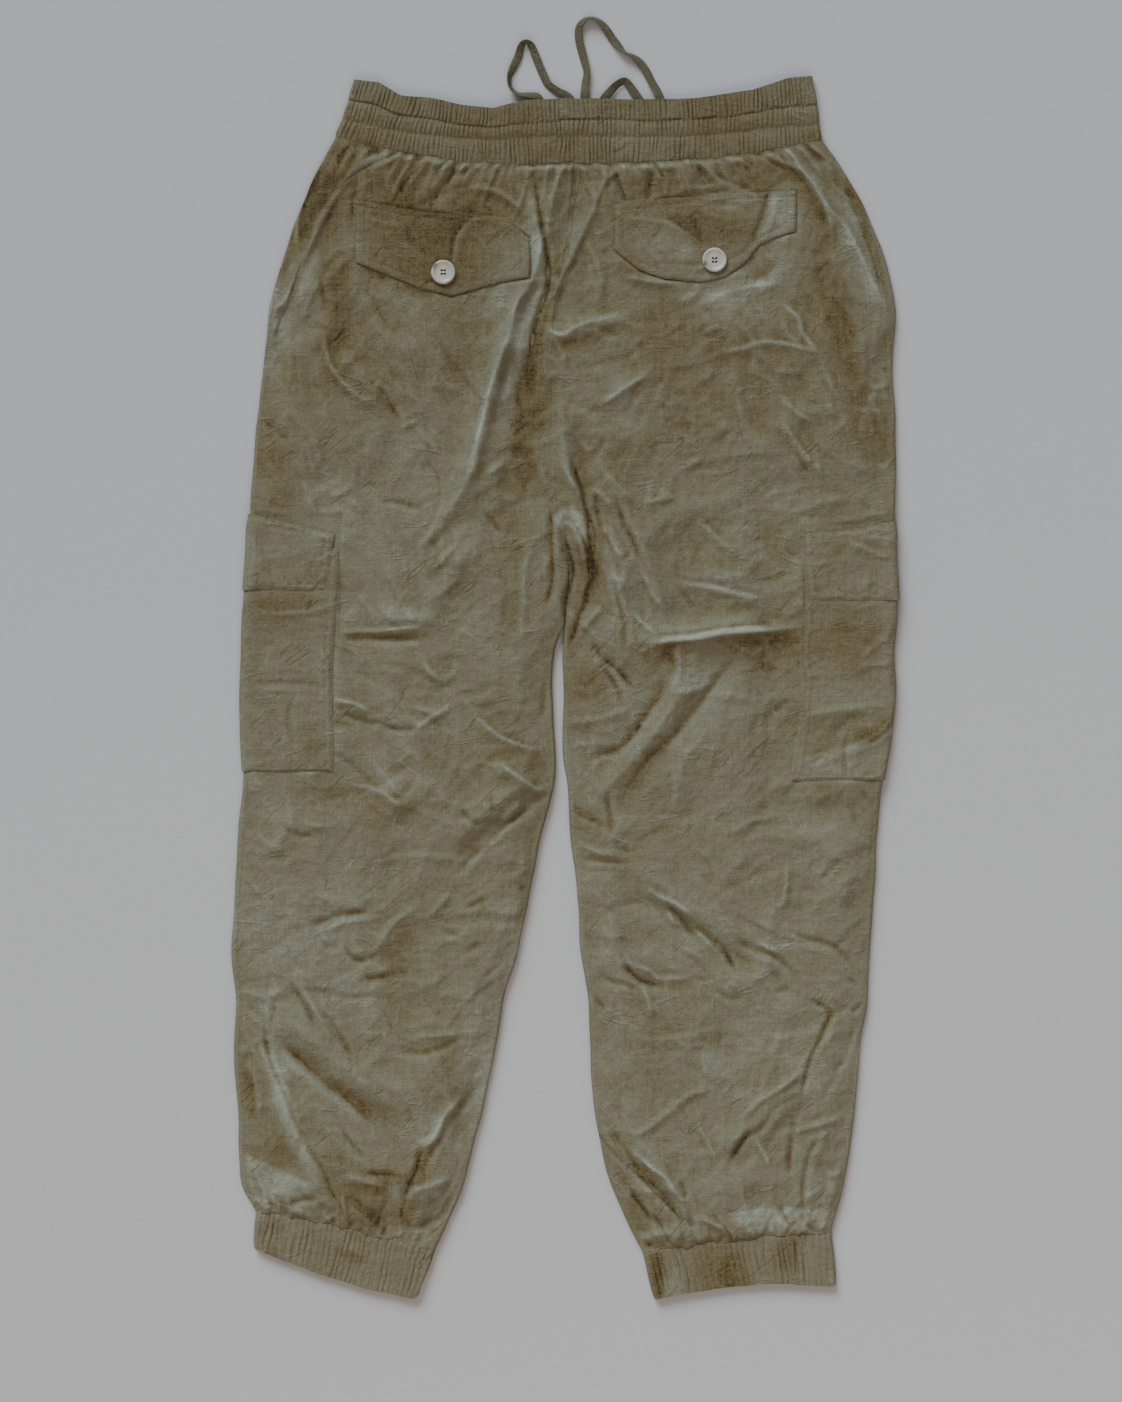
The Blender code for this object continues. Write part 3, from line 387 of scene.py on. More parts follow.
# Finer creases: height (sunken below zero), width, how much steeper the side to the left of the run is
# than the other, and the points that the crest follows, as x, y, x, y and so on.
Crease = namedtuple("Crease", "height width lean points")
CREASES = table(Crease,
    # left hip and seat
    (3.2, 4.5, 0.4, (-146, 429, -164, 420, -179, 403, -193, 380, -205, 354, -216, 332, -224, 311,
                     -232, 303, -236, 282, -243, 248)),
    (2, 4, 0.3, (-120, 440, -138, 425, -154, 416)),
    (2.2, 4, 0.3, (-85, 424, -109, 425, -120, 416, -132, 403)),
    (1.8, 4, 0, (-81, 403, -56, 399, -40, 388, -32, 379)),
    (1.6, 2.5, 0, (-230, 295, -235, 285)),
    (1.6, 3, 0, (-230, 271, -243, 248)),
    (-2, 4, 0, (-183, 440, -195, 418, -205, 397)),
    (-1.6, 3, 0, (-168, 407, -171, 372)),
    (-1.5, 3, 0, (-89, 411, -75, 417)),
    (1.8, 2.6, 0.2, (-193, 285, -192, 271, -188, 258, -180, 247, -169, 236, -158, 230)),
    (-1.4, 3, 0, (-164, 247, -150, 240, -140, 228, -132, 213)),
    (-1.3, 3, 0, (-195, 327, -192, 306)),
    (-1.2, 3, 0, (-161, 319, -153, 309)),
    (1.2, 3, 0, (-209, 197, -204, 183, -201, 168)),
    (1.4, 3, 0, (-188, 152, -172, 160)),
    (1.2, 3, 0, (-172, 151, -160, 140)),
    (-1.6, 3, 0, (-148, 150, -132, 149, -110, 141)),
    (-1.4, 3.5, 0, (-241, 215, -227, 202, -220, 199)),
    (1.2, 3, 0, (-132, 208, -118, 215)),
    (1.2, 3, 0, (-118, 208, -102, 189)),
    # centre and seat
    (3.8, 8, 0.5, (-4, 416, -20, 351, -30, 322, -40, 306, -44, 287, -49, 271, -56, 250, -62, 231,
                     -68, 204, -72, 186, -78, 167, -89, 148, -104, 128, -115, 119)),
    (-4, 3.0, 0, (-24, 400, -20, 376, -15, 350, -14, 326, -17, 311, -24, 295, -28, 274, -32, 263)),
    (-2, 3, 0, (-32, 263, -38, 237, -36, 223)),
    (1.6, 3, 0, (-48, 183, -64, 170)),
    (-1.6, 3, 0, (-64, 141, -52, 125)),
    (1.4, 4, 0, (-94, 133, -116, 114)),
    (2.4, 3.5, 0.4, (-14, 290, -4, 282, 12, 290, 28, 295, 45, 301)),
    (1.4, 3, 0, (-9, 277, -3, 271, -1, 258)),
    (1.4, 3, 0, (-22, 183, -17, 167, -12, 157)),
    (2.4, 3.5, 0, (-3, 183, 4, 167, 12, 156, 18, 127)),
    (-2.4, 3, 0, (5, 186, 10, 167, 15, 151, 20, 127)),
    (1.3, 3, 0, (-4, 224, -1, 213)),
    (-1.6, 3, 0, (-12, 143, -11, 119)),
    (-1.8, 3, 0, (10, 424, 7, 399, 4, 372)),
    (2.8, 4, 0.4, (49, 420, 31, 405, 20, 380, 6, 348, -8, 316, -12, 287)),
    (1.6, 3.5, 0, (16, 360, 27, 336, 28, 311)),
    (2, 5, 0, (-16, 420, -4, 417)),
    # crotch
    (3.4, 4, 0, (-6, 128, 0, 133, 8, 127, 15, 111, 20, 92)),
    (-3.6, 3.4, 0, (-3, 125, 2, 106, 5, 96, 3, 80, 0, 66, 0, 48)),
    (-2.8, 3, 0, (8, 132, 16, 111, 20, 92)),
    (-2, 3, 0, (19, 130, 22, 103)),
    (-3, 3.2, 0, (20, 87, 15, 66, 11, 60, 7, 45, 0, 32)),
    (1.8, 4, 0, (-28, 119, -33, 87, -35, 36)),
    (-1.8, 3.4, 0, (-14, 135, -11, 87, -17, 61)),
    (2.2, 4, 0, (29, 66, 20, 55, 12, 45)),
    # right seat
    (1.8, 4, 0, (94, 424, 110, 420, 120, 409, 135, 403)),
    (-1.8, 3, 0, (120, 416, 127, 407, 149, 399)),
    (-1.5, 3, 0, (110, 395, 131, 398, 159, 392)),
    (1.5, 3, 0, (96, 399, 123, 403)),
    (1.3, 3, 0, (98, 384, 127, 392, 153, 395)),
    (-1.8, 3.5, 0, (69, 413, 64, 388)),
    (3, 4.5, 0.3, (153, 436, 164, 425, 184, 417, 196, 407, 206, 392, 214, 380, 223, 372, 235, 348,
                     251, 316, 255, 305)),
    (1.8, 3, 0, (206, 392, 212, 372, 214, 356)),
    (1.8, 3.5, 0, (210, 424, 216, 403, 231, 388, 241, 364)),
    (-2.4, 3.6, 0, (235, 392, 249, 368, 253, 342, 264, 305)),
    (1.8, 4, 0, (47, 329, 94, 321)),
    (1.4, 3.5, 0, (94, 308, 110, 320)),
    (2.2, 5, 0, (110, 307, 135, 319, 172, 324)),
    (1.7, 2.5, 0, (28, 226, 48, 240, 66, 252)),
    (1.5, 2.8, 0, (12, 199, 21, 188)),
    (-1.5, 3, 0, (32, 200, 21, 183)),
    (1.7, 3, 0, (29, 176, 37, 167, 55, 149)),
    (1.6, 3, 0, (21, 160, 32, 152, 37, 143)),
    (1.4, 3, 0, (60, 148, 90, 154)),
    (-1.8, 3, 0, (24, 157, 29, 122)),
    (-1.8, 3, 0, (40, 154, 48, 127)),
    (1.4, 3, 0, (24, 327, 26, 308)),
    (1.4, 3, 0, (111, 284, 124, 290)),
    (2.2, 3.4, 0.3, (124, 269, 143, 272, 156, 277, 176, 275, 200, 269)),
    (2.2, 3.2, 0, (175, 308, 183, 300, 188, 295, 189, 284, 202, 269)),
    (1.6, 3, 0, (175, 295, 178, 282, 188, 277)),
    (1.6, 3, 0, (205, 266, 207, 255, 213, 242, 218, 232)),
    (1.4, 3, 0, (170, 255, 180, 252, 188, 255)),
    (1.4, 3, 0, (210, 228, 215, 218)),
    (1.8, 3, 0.2, (172, 232, 184, 221, 199, 212)),
    (2, 3, 0.3, (173, 215, 181, 202, 197, 180)),
    (-1.6, 3, 0, (184, 189, 194, 173)),
    (1.5, 3, 0, (200, 183, 205, 170)),
    (1.5, 4, 0, (175, 138, 194, 144, 213, 151, 226, 152)),
    (1.3, 4, 0, (184, 128, 236, 135)),
    (1.3, 3, 0, (236, 138, 260, 141)),
    (1.5, 3, 0, (245, 245, 248, 240, 261, 244)),
    (1.6, 3, 0, (244, 234, 252, 215, 256, 199)),
    (1.5, 3, 0, (255, 237, 263, 224)),
    (-1.6, 3, 0, (255, 258, 263, 247)),
    (1.2, 3, 0, (252, 176, 263, 183)),
    (-1.4, 3, 0, (111, 135, 124, 122)),
    (1.2, 3, 0, (96, 178, 108, 183)),
    # right thigh
    (2.6, 5, 0, (29, 130, 39, 114, 48, 103)),
    (-2.2, 3.4, 0, (31, 125, 40, 103, 44, 87)),
    (2.2, 3, -0.3, (60, 95, 69, 77, 79, 63)),
    (-2, 3, 0, (48, 130, 60, 103)),
    (1.6, 3, 0, (34, 90, 42, 63)),
    (-2, 3, 0, (40, 74, 47, 55, 48, 32)),
    (1.6, 3, 0, (56, 58, 72, 45)),
    (4.4, 8.5, 0.45, (60, 38, 71, 36, 88, 38, 105, 40, 123, 43, 142, 45, 167, 47, 192, 49)),
    (-1.4, 2, 0, (70, 42, 88, 44, 105, 46, 123, 49, 142, 51, 165, 52)),
    (1.4, 4, 0, (109, 96, 120, 92, 148, 90)),
    (1.8, 3.4, 0.3, (92, 84, 117, 80, 133, 76, 156, 72)),
    (1.5, 4, 0, (111, 130, 128, 114, 140, 106)),
    (-1.6, 3, 0, (92, 79, 103, 63)),
    (-2.4, 3.4, 0, (21, 36, 31, 24, 44, 13, 56, -3)),
    (-2, 3, 0, (32, 16, 42, -1, 45, -12)),
    (1.8, 4, 0, (-4, -28, 28, -24, 50, -17)),
    (-1.5, 3.4, 0, (80, 5, 74, -9, 60, -28, 44, -48, 21, -56, 13, -72)),
    (-1.3, 3.4, 0, (133, 23, 116, -1, 100, -22, 85, -40, 66, -57, 52, -76, 45, -89)),
    (2, 4, 0, (88, 31, 92, 15, 85, -3)),
    (1.4, 3, 0, (87, -3, 104, -1, 117, 7)),
    (1.4, 3, 0, (60, 29, 66, 32)),
    (-1.6, 3.4, 0, (180, -9, 167, -20)),
    # left thigh
    (-1.8, 4.2, 0, (-179, 42, -156, 40, -116, 40)),
    (2.2, 3, 0.3, (-182, 45, -156, 46, -116, 48)),
    (1.6, 3, 0, (-129, 34, -116, 36)),
    (1.8, 3, 0.3, (-86, 116, -107, 93)),
    (1.6, 3, 0.3, (-84, 90, -104, 71)),
    (2, 3, 0, (-115, 24, -108, 12, -96, 7, -84, 16)),
    (1.6, 3, 0, (-121, -15, -102, -20)),
    (1.6, 3, 0, (-121, -33, -92, -14)),
    (2.2, 3, 0.4, (-73, -22, -64, -30, -51, -40, -36, -46, -22, -49)),
    (2.4, 3.2, 0.4, (-54, -57, -41, -68, -28, -76, -22, -81, -9, -76)),
    (-1.8, 4, 0, (-12, 15, -17, -9, -19, -27)),
    (2.2, 3, 0.4, (-188, -8, -177, -10, -164, -14, -156, -24)),
    (-2.2, 3, 0, (-180, -17, -169, -24, -156, -28, -144, -27)),
    (-2, 3, 0, (-145, -30, -132, -33, -116, -32)),
    (-1.6, 3, 0, (-184, -28, -172, -32)),
    (-1.4, 3, 0, (-180, 32, -168, 26)),
    (-1.6, 3, 0, (-188, -51, -172, -60, -156, -75)),
    (1.8, 3, 0.3, (-172, -78, -150, -82, -132, -94)),
    (-2, 3, 0, (-142, -84, -131, -86, -123, -75)),
    (-3.2, 3.6, 0, (-19, -86, -44, -107, -60, -121, -76, -136, -86, -147)),
    (2, 4, 0, (-36, -91, -51, -107)),
    (2.4, 3.6, 0, (-38, -105, -60, -121, -72, -132)),
    (-2, 3, 0, (-83, -96, -78, -104, -68, -110)),
    (-1.6, 3, 0, (-60, -86, -57, -99)),
    # lower right leg
    (-2.2, 3.4, 0, (34, -86, 38, -118)),
    (-2.2, 3.2, 0, (4, -97, 20, -104, 36, -112)),
    (1.8, 3, 0, (10, -124, 28, -131, 44, -132)),
    (-1.6, 3, 0, (39, -124, 52, -131)),
    (-1.8, 3, 0, (12, -136, 28, -137, 52, -140)),
    (2.6, 3.4, 0.3, (64, -156, 71, -164, 92, -174, 104, -185)),
    (-2.4, 3.2, 0, (79, -171, 92, -182, 98, -193, 104, -200)),
    (1.8, 3, 0, (82, -179, 92, -192)),
    (-2.2, 3.2, 0, (104, -190, 116, -200, 127, -208, 136, -227)),
    (2, 3, 0.2, (106, -196, 120, -208)),
    (-2.2, 3.4, 0, (135, -200, 148, -208, 164, -212, 180, -225, 186, -235)),
    (1.8, 3, 0, (154, -203, 170, -211)),
    (-2.6, 3.2, 0, (48, -219, 53, -228, 63, -235, 76, -238)),
    (2.4, 3.2, 0.3, (50, -219, 66, -225, 76, -232, 98, -232)),
    (-1.8, 3, 0, (28, -232, 44, -236, 56, -240)),
    (1.8, 3, 0, (61, -238, 66, -249, 68, -265)),
    (-1.8, 3, 0, (16, -241, 32, -257)),
    (1.8, 4, 0, (127, -116, 143, -109, 160, -103, 176, -100)),
    (1.8, 3, 0, (178, -140, 176, -163, 173, -176)),
    (-2, 3, 0, (180, -193, 192, -200, 208, -204, 218, -209, 228, -219)),
    (-1.6, 3, 0, (215, -208, 224, -201)),
    (-1.4, 3, 0, (168, -243, 180, -240)),
    (-1.6, 3, 0, (120, -240, 128, -248, 140, -249)),
    (-2, 3, 0, (196, -249, 212, -260, 204, -280)),
    (-1.6, 3, 0, (228, -260, 240, -251)),
    (-1.4, 3, 0, (226, -233, 236, -238)),
    (-1.4, 3, 0, (220, -137, 205, -153)),
    (-1.8, 2.4, 0, (216, -257, 210, -267, 202, -283, 194, -304, 188, -328)),
    (-1.8, 4.4, 0, (188, -328, 172, -332, 156, -352, 143, -360, 132, -379)),
    (3, 4.2, 0, (192, -305, 156, -329, 140, -345)),
    (-2.6, 3.2, 0, (184, -339, 181, -358, 178, -390)),
    (-2.2, 3.2, 0, (204, -358, 196, -371, 191, -393, 189, -419)),
    (2, 3.4, 0, (181, -356, 204, -348, 220, -344)),
    (1.6, 3, 0, (202, -360, 210, -355)),
    (1.8, 3, 0, (151, -361, 159, -371, 164, -382)),
    (-2.4, 3, 0, (172, -414, 173, -422, 178, -428)),
    (-2.4, 3, 0, (189, -419, 194, -430, 202, -436, 212, -436)),
    (1.8, 3, 0, (210, -390, 223, -388)),
    (-2.4, 3.4, 0, (32, -344, 42, -361, 50, -372, 60, -390, 76, -403, 95, -430)),
    (3, 3.4, 0.2, (52, -369, 64, -380, 79, -390, 88, -403, 95, -412)),
    (-2.4, 3, 0, (90, -393, 95, -400, 96, -409)),
    (2.2, 3, 0.2, (48, -377, 63, -395, 76, -409, 85, -422)),
    (-2.6, 3, 0, (42, -390, 52, -401, 60, -414, 68, -424, 77, -430)),
    (-2.4, 3, 0, (98, -424, 103, -431)),
    (1.8, 3, 0, (106, -348, 114, -364, 119, -377)),
    (-2.2, 3.2, 0, (132, -377, 140, -364, 148, -352)),
    (2.4, 4, 0, (53, -360, 76, -344, 98, -326, 114, -320)),
    (2.2, 3, 0, (108, -422, 117, -428, 128, -433, 133, -441)),
    (-2.4, 3, 0, (125, -429, 134, -441)),
    (2.4, 5, 0, (56, -441, 85, -435, 88, -446)),
    # lower left leg
    (-2, 3.4, 0, (-205, -190, -192, -185, -176, -180, -154, -178)),
    (1.6, 3.4, 0, (-203, -196, -176, -187, -155, -184)),
    (2.2, 3.4, 0.3, (-122, -176, -133, -184, -143, -195, -154, -211)),
    (-2, 3.2, 0, (-176, -206, -170, -216, -160, -218, -151, -212)),
    (-1.4, 3, 0, (-196, -201, -189, -209)),
    (-1.8, 3, 0, (-160, -233, -144, -230)),
    (-1.6, 3.4, 0, (-196, -243, -176, -247, -148, -246)),
    (2, 3.2, 0, (-212, -238, -202, -254, -186, -283)),
    (-1.8, 3, 0, (-220, -236, -205, -259, -200, -273)),
    (-1.8, 3, 0, (-192, -262, -183, -273, -170, -296)),
    (-2.4, 3.6, 0, (-232, -249, -239, -281)),
    (-2.6, 3.6, 0, (-240, -281, -236, -295)),
    (-3.2, 3.8, 0, (-226, -286, -212, -299, -197, -313, -180, -326, -167, -339)),
    (2.2, 4, 0, (-258, -297, -248, -313, -245, -347)),
    (1.1, 11, 0.5, (-240, -297, -232, -316, -224, -334, -216, -356, -204, -380)),
    (-1.6, 2.4, 0, (-235, -302, -225, -324, -212, -355)),
    (-2.2, 3.2, 0, (-208, -361, -200, -376, -194, -385, -183, -414)),
    (-1.8, 3, 0, (-178, -353, -170, -366, -160, -377)),
    (-2.2, 3, 0, (-221, -412, -212, -410, -197, -408)),
    (-2.6, 3, 0, (-160, -388, -128, -390)),
    (2.2, 4, 0, (-176, -390, -144, -398)),
    (2, 3.6, 0, (-124, -280, -108, -278, -84, -275)),
    (-2, 3.4, 0, (-134, -288, -116, -292, -100, -288, -88, -281)),
    (-2.8, 3.6, 0, (-72, -321, -84, -336, -96, -350, -100, -360, -112, -379, -116, -388)),
    (2.6, 3.6, 0, (-84, -328, -96, -342, -105, -360, -115, -366)),
    (-2.8, 3.2, 0, (-115, -369, -121, -388, -131, -411)),
    (2.2, 3.6, 0, (-126, -406, -113, -398, -91, -393)),
    (-2.4, 3.2, 0, (-91, -406, -96, -420, -104, -425, -121, -433)),
    (-1.8, 3, 0, (-226, -109, -218, -116, -202, -118)),
    (1.6, 3, 0, (-212, -107, -192, -112)),
    (1.8, 3.2, 0.2, (-92, -163, -99, -172, -108, -182)),
    (-1.8, 3, 0, (-64, -169, -80, -176)),
    (-1.4, 3, 0, (-96, -195, -84, -198)),
    (-1.4, 3, 0, (-80, -211, -67, -204)),
    (-1.4, 3, 0, (-36, -158, -30, -166)),
)
# The same on the pockets and flaps.
OVERLAY_CREASES = table(Crease,
    # left back flap
    (1.1, 2.6, 0, (-88, 341, -87, 357, -78, 372, -60, 377, -46, 376, -31, 363)),
    (0.9, 2.4, 0, (-49, 377, -40, 372, -30, 362)),
    (-1.2, 2.4, 0, (-148, 373, -145, 359, -136, 344)),
    (1.0, 2.4, 0, (-160, 378, -146, 372, -130, 371)),
    (-0.9, 2.4, 0, (-128, 372, -122, 356, -112, 346)),
    (0.9, 2.2, 0, (-74, 366, -64, 352, -60, 338)),
    (-0.9, 2.2, 0, (-52, 368, -44, 356, -42, 342)),
    (-0.9, 3, 0, (-91, 341, -90, 359, -80, 374)),
    (-1.1, 2.4, 0, (-161, 392, -139, 384, -98, 377, -75, 380, -46, 381)),
    # right back flap
    (-1.2, 2.6, 0, (94, 394, 112, 396, 132, 398, 149, 396)),
    (1.3, 2.6, 0, (96, 387, 124, 392, 144, 396, 159, 389)),
    (-1.5, 2.4, 0, (153, 356, 158, 371, 163, 394)),
    (1.2, 3.4, 0, (159, 359, 165, 375, 169, 395)),
    (-1, 2.4, 0, (64, 336, 72, 340, 108, 340, 136, 345, 151, 359)),
    (-1, 2.4, 0, (64, 351, 69, 341, 77, 333)),
    (-0.8, 3, 0, (100, 379, 108, 359, 109, 343)),
    (1.3, 3, 0.3, (43, 377, 65, 375, 86, 370, 112, 351)),
    (-0.9, 2.2, 0, (50, 342, 63, 348, 70, 338)),
    (0.9, 2.2, 0, (63, 351, 72, 345, 80, 334)),
    (-0.9, 2.4, 0, (54, 372, 64, 362, 68, 350)),
    (0.9, 2.4, 0, (110, 382, 122, 376, 135, 374)),
    (-1, 2.4, 0, (100, 392, 118, 388, 138, 386, 152, 380)),
    # left cargo pocket and its flap
    (0.7, 4, 0, (-244, 103, -227, 106, -208, 109)),
    (-0.7, 4, 0, (-243, 92, -232, 96, -216, 98)),
    (1.3, 3.2, 0.3, (-240, 58, -214, 61, -196, 64, -172, 71)),
    (-1.3, 5, 0, (-257, 68, -220, 66, -188, 72)),
    (-1.3, 2.6, 0, (-251, 4, -214, 4, -192, 2)),
    (1.1, 2.6, 0.3, (-248, 0, -232, -1, -216, -1)),
    (1.1, 3, 0, (-196, -9, -190, 0)),
    (-2, 2.4, 0, (-220, -12, -222, -25, -220, -36, -217, -48)),
    (-1, 3, 0, (-236, -17, -227, -32)),
    (-1, 3, 0, (-260, 16, -251, 5)),
    # right cargo pocket and its flap
    (0.9, 3, 0, (197, 98, 220, 103, 237, 100)),
    (1.3, 3, 0.3, (229, 115, 245, 109, 261, 103)),
    (-0.9, 3, 0, (228, 120, 252, 112, 264, 109)),
    (0.9, 3, 0, (200, 119, 228, 124, 260, 127)),
    (-0.8, 2.6, 0, (208, 76, 212, 87, 210, 95)),
    (-0.8, 2.6, 0, (229, 74, 232, 84, 229, 92)),
    (0.9, 2.6, 0, (239, 76, 242, 87, 240, 95)),
    (1.1, 3, 0, (236, 18, 248, 19, 261, 20)),
    (1.2, 3, 0, (234, 23, 252, 37, 264, 50)),
    (1.6, 3.4, 0.3, (188, -22, 204, -19, 226, -16, 245, -12)),
    (-2.2, 4.6, 0, (191, -49, 213, -40, 228, -25, 252, -24, 264, -12)),
    (2.6, 3.6, 0.5, (188, -59, 204, -54, 223, -48, 239, -43, 252, -35, 263, -25)),
    (-2, 2.4, 0, (228, -33, 224, -46, 224, -73)),
)
# Patches of painted shade, browner, or of painted light, greyer below zero: middle, reach and strength.
PaintedShadingPatch = namedtuple("PaintedShadingPatch", "x y across up strength")
PAINTED_SHADING_PATCHES = table(PaintedShadingPatch,
    (104, 255, 44, 56, 1), (221, 290, 8, 27, 0.7), (248, 199, 12, 16, 0.7), (-229, 179, 15, 36, 0.9),
    (-22, 243, 11, 31, 1), (-35, 183, 11, 16, 0.8), (-43, 90, 10, 45, 0.8), (12, -5, 16, 36, 0.9),
    (127, 26, 61, 13, 0.9), (229, 43, 26, 25, 0.9), (208, -82, 14, 9, 0.8), (20, -109, 17, 12, 0.8),
    (66, -192, 22, 10, 0.7), (-38, -56, 18, 14, 0.8), (-149, -97, 25, 16, 0.8), (-134, -225, 12, 37, 0.7),
    (-152, -340, 15, 10, 0.8), (-228, -368, 17, 22, 0.7), (-164, -425, 19, 14, 0.9),
    (160, -404, 28, 11, 0.7), (122, -461, 14, 20, 0.7), (-128, 275, 60, 44, 0.6), (-112, 361, 40, 38, 0.9),
    (108, 371, 32, 16, 0.65), (-221, 66, 39, 8, 1), (-202, -40, 12, 10, 0.7), (228, -28, 37, 14, 0.9),
    (52, 203, 24, 28, 0.5), (-152, 397, 36, 18, 0.5), (84, -77, 40, 36, 0.4), (-64, -161, 44, 8, 0.4),
    (-92, -285, 24, 36, 0.4), (68, -301, 40, 28, 0.4), (-188, 319, 24, 32, -0.5), (-226, 259, 14, 28, -0.4),
    (-132, 135, 56, 64, -0.5), (-52, 298, 16, 19, -0.7), (144, 299, 36, 12, -0.7), (164, 151, 40, 48, -0.5),
    (48, 71, 20, 32, -0.5), (168, -425, 48, 10, -0.8), (-100, -357, 16, 36, -0.5),
    (-236, -185, 24, 112, -0.5), (180, -297, 56, 80, -0.5), (20, -185, 24, 32, -0.4),
    (108, 47, 48, 8, -0.6), (-148, 56, 32, 14, -0.4), (78, 361, 30, 20, -0.6), (175, 381, 10, 18, -1.1),
    (-50, 345, 16, 16, -0.4), (130, 388, 30, 6, -0.6), (226, -8, 38, 14, -0.5), (224, -56, 35, 14, -0.5),
    (-10, 415, 7, 8, -0.9), (6, 126, 10, 8, -0.9), (-34, 319, 18, 32, -0.4), (0, 430, 300, 70, 0.42),
    (-236, 340, 30, 90, 0.5), (-186, 340, 16, 50, 0.5), (0, -250, 330, 230, -0.22),
    (-180, 430, 14, 22, 0.5), (-208, 388, 15, 32, 1.4), (-182, 300, 14, 38, 1.2), (-214, 243, 12, 18, 0.9),
    (-60, 385, 34, 20, 0.9), (-230, 305, 9, 24, -0.8), (-20, 290, 10, 14, 0.7), (-57, 287, 8, 10, 0.7),
    (-48, 250, 7, 20, -0.9), (-30, 213, 12, 14, 0.8), (-90, 200, 16, 36, 0.5), (75, 400, 26, 14, 0.7),
    (155, 412, 20, 14, 1.0), (207, 360, 11, 36, 0.6), (221, 300, 13, 34, 0.35), (232, 235, 9, 34, 0.7),
    (55, 335, 12, 12, 0.8), (135, 320, 36, 9, -1.2), (150, 291, 16, 8, 0.8), (55, 222, 16, 24, -1.2),
    (160, 212, 12, 18, 0.9), (173, 120, 13, 20, 1.2), (18, 97, 16, 32, 1.3), (-140, 105, 16, 30, 0.5),
    (-193, 66, 26, 14, -1.0), (130, 77, 26, 10, -1.0), (110, 20, 22, 22, -1.2), (-75, 120, 20, 20, -0.5),
    (-35, 80, 14, 24, -0.5), (-110, -30, 30, 20, -0.6), (-45, -200, 14, 50, -1.0),
    (-68, -300, 14, 50, -1.1), (-180, -170, 16, 50, -0.6), (-130, -75, 20, 14, -0.7),
    (-155, -265, 12, 16, -0.8), (-185, -385, 14, 12, 0.9), (-150, -390, 12, 10, 0.7),
    (-105, -378, 14, 14, 0.8), (-232, -320, 7, 16, -1.1), (-221, -350, 7, 16, -1.1),
    (-210, -375, 7, 12, -1.0), (-238, -398, 18, 9, -1.1), (-238, -432, 12, 10, 0.9),
    (20, -170, 12, 16, 0.8), (22, -270, 12, 18, 0.8), (108, -245, 16, 10, 0.7), (138, -218, 12, 12, 0.6),
    (190, -228, 14, 12, 0.6), (198, -288, 14, 12, 0.9), (168, -310, 18, 10, 0.9), (85, -384, 18, 12, 0.7),
    (150, -388, 12, 12, 0.3), (55, -420, 8, 18, 0.9), (68, -460, 8, 18, 0.9), (178, -450, 14, 16, 1.2),
    (75, -178, 20, 10, -0.8), (45, -213, 12, 10, -0.6), (100, -300, 20, 16, -0.8), (92, -420, 14, 12, -0.6),
    (202, -400, 16, 12, -0.8), (230, -310, 8, 24, -0.6),
)
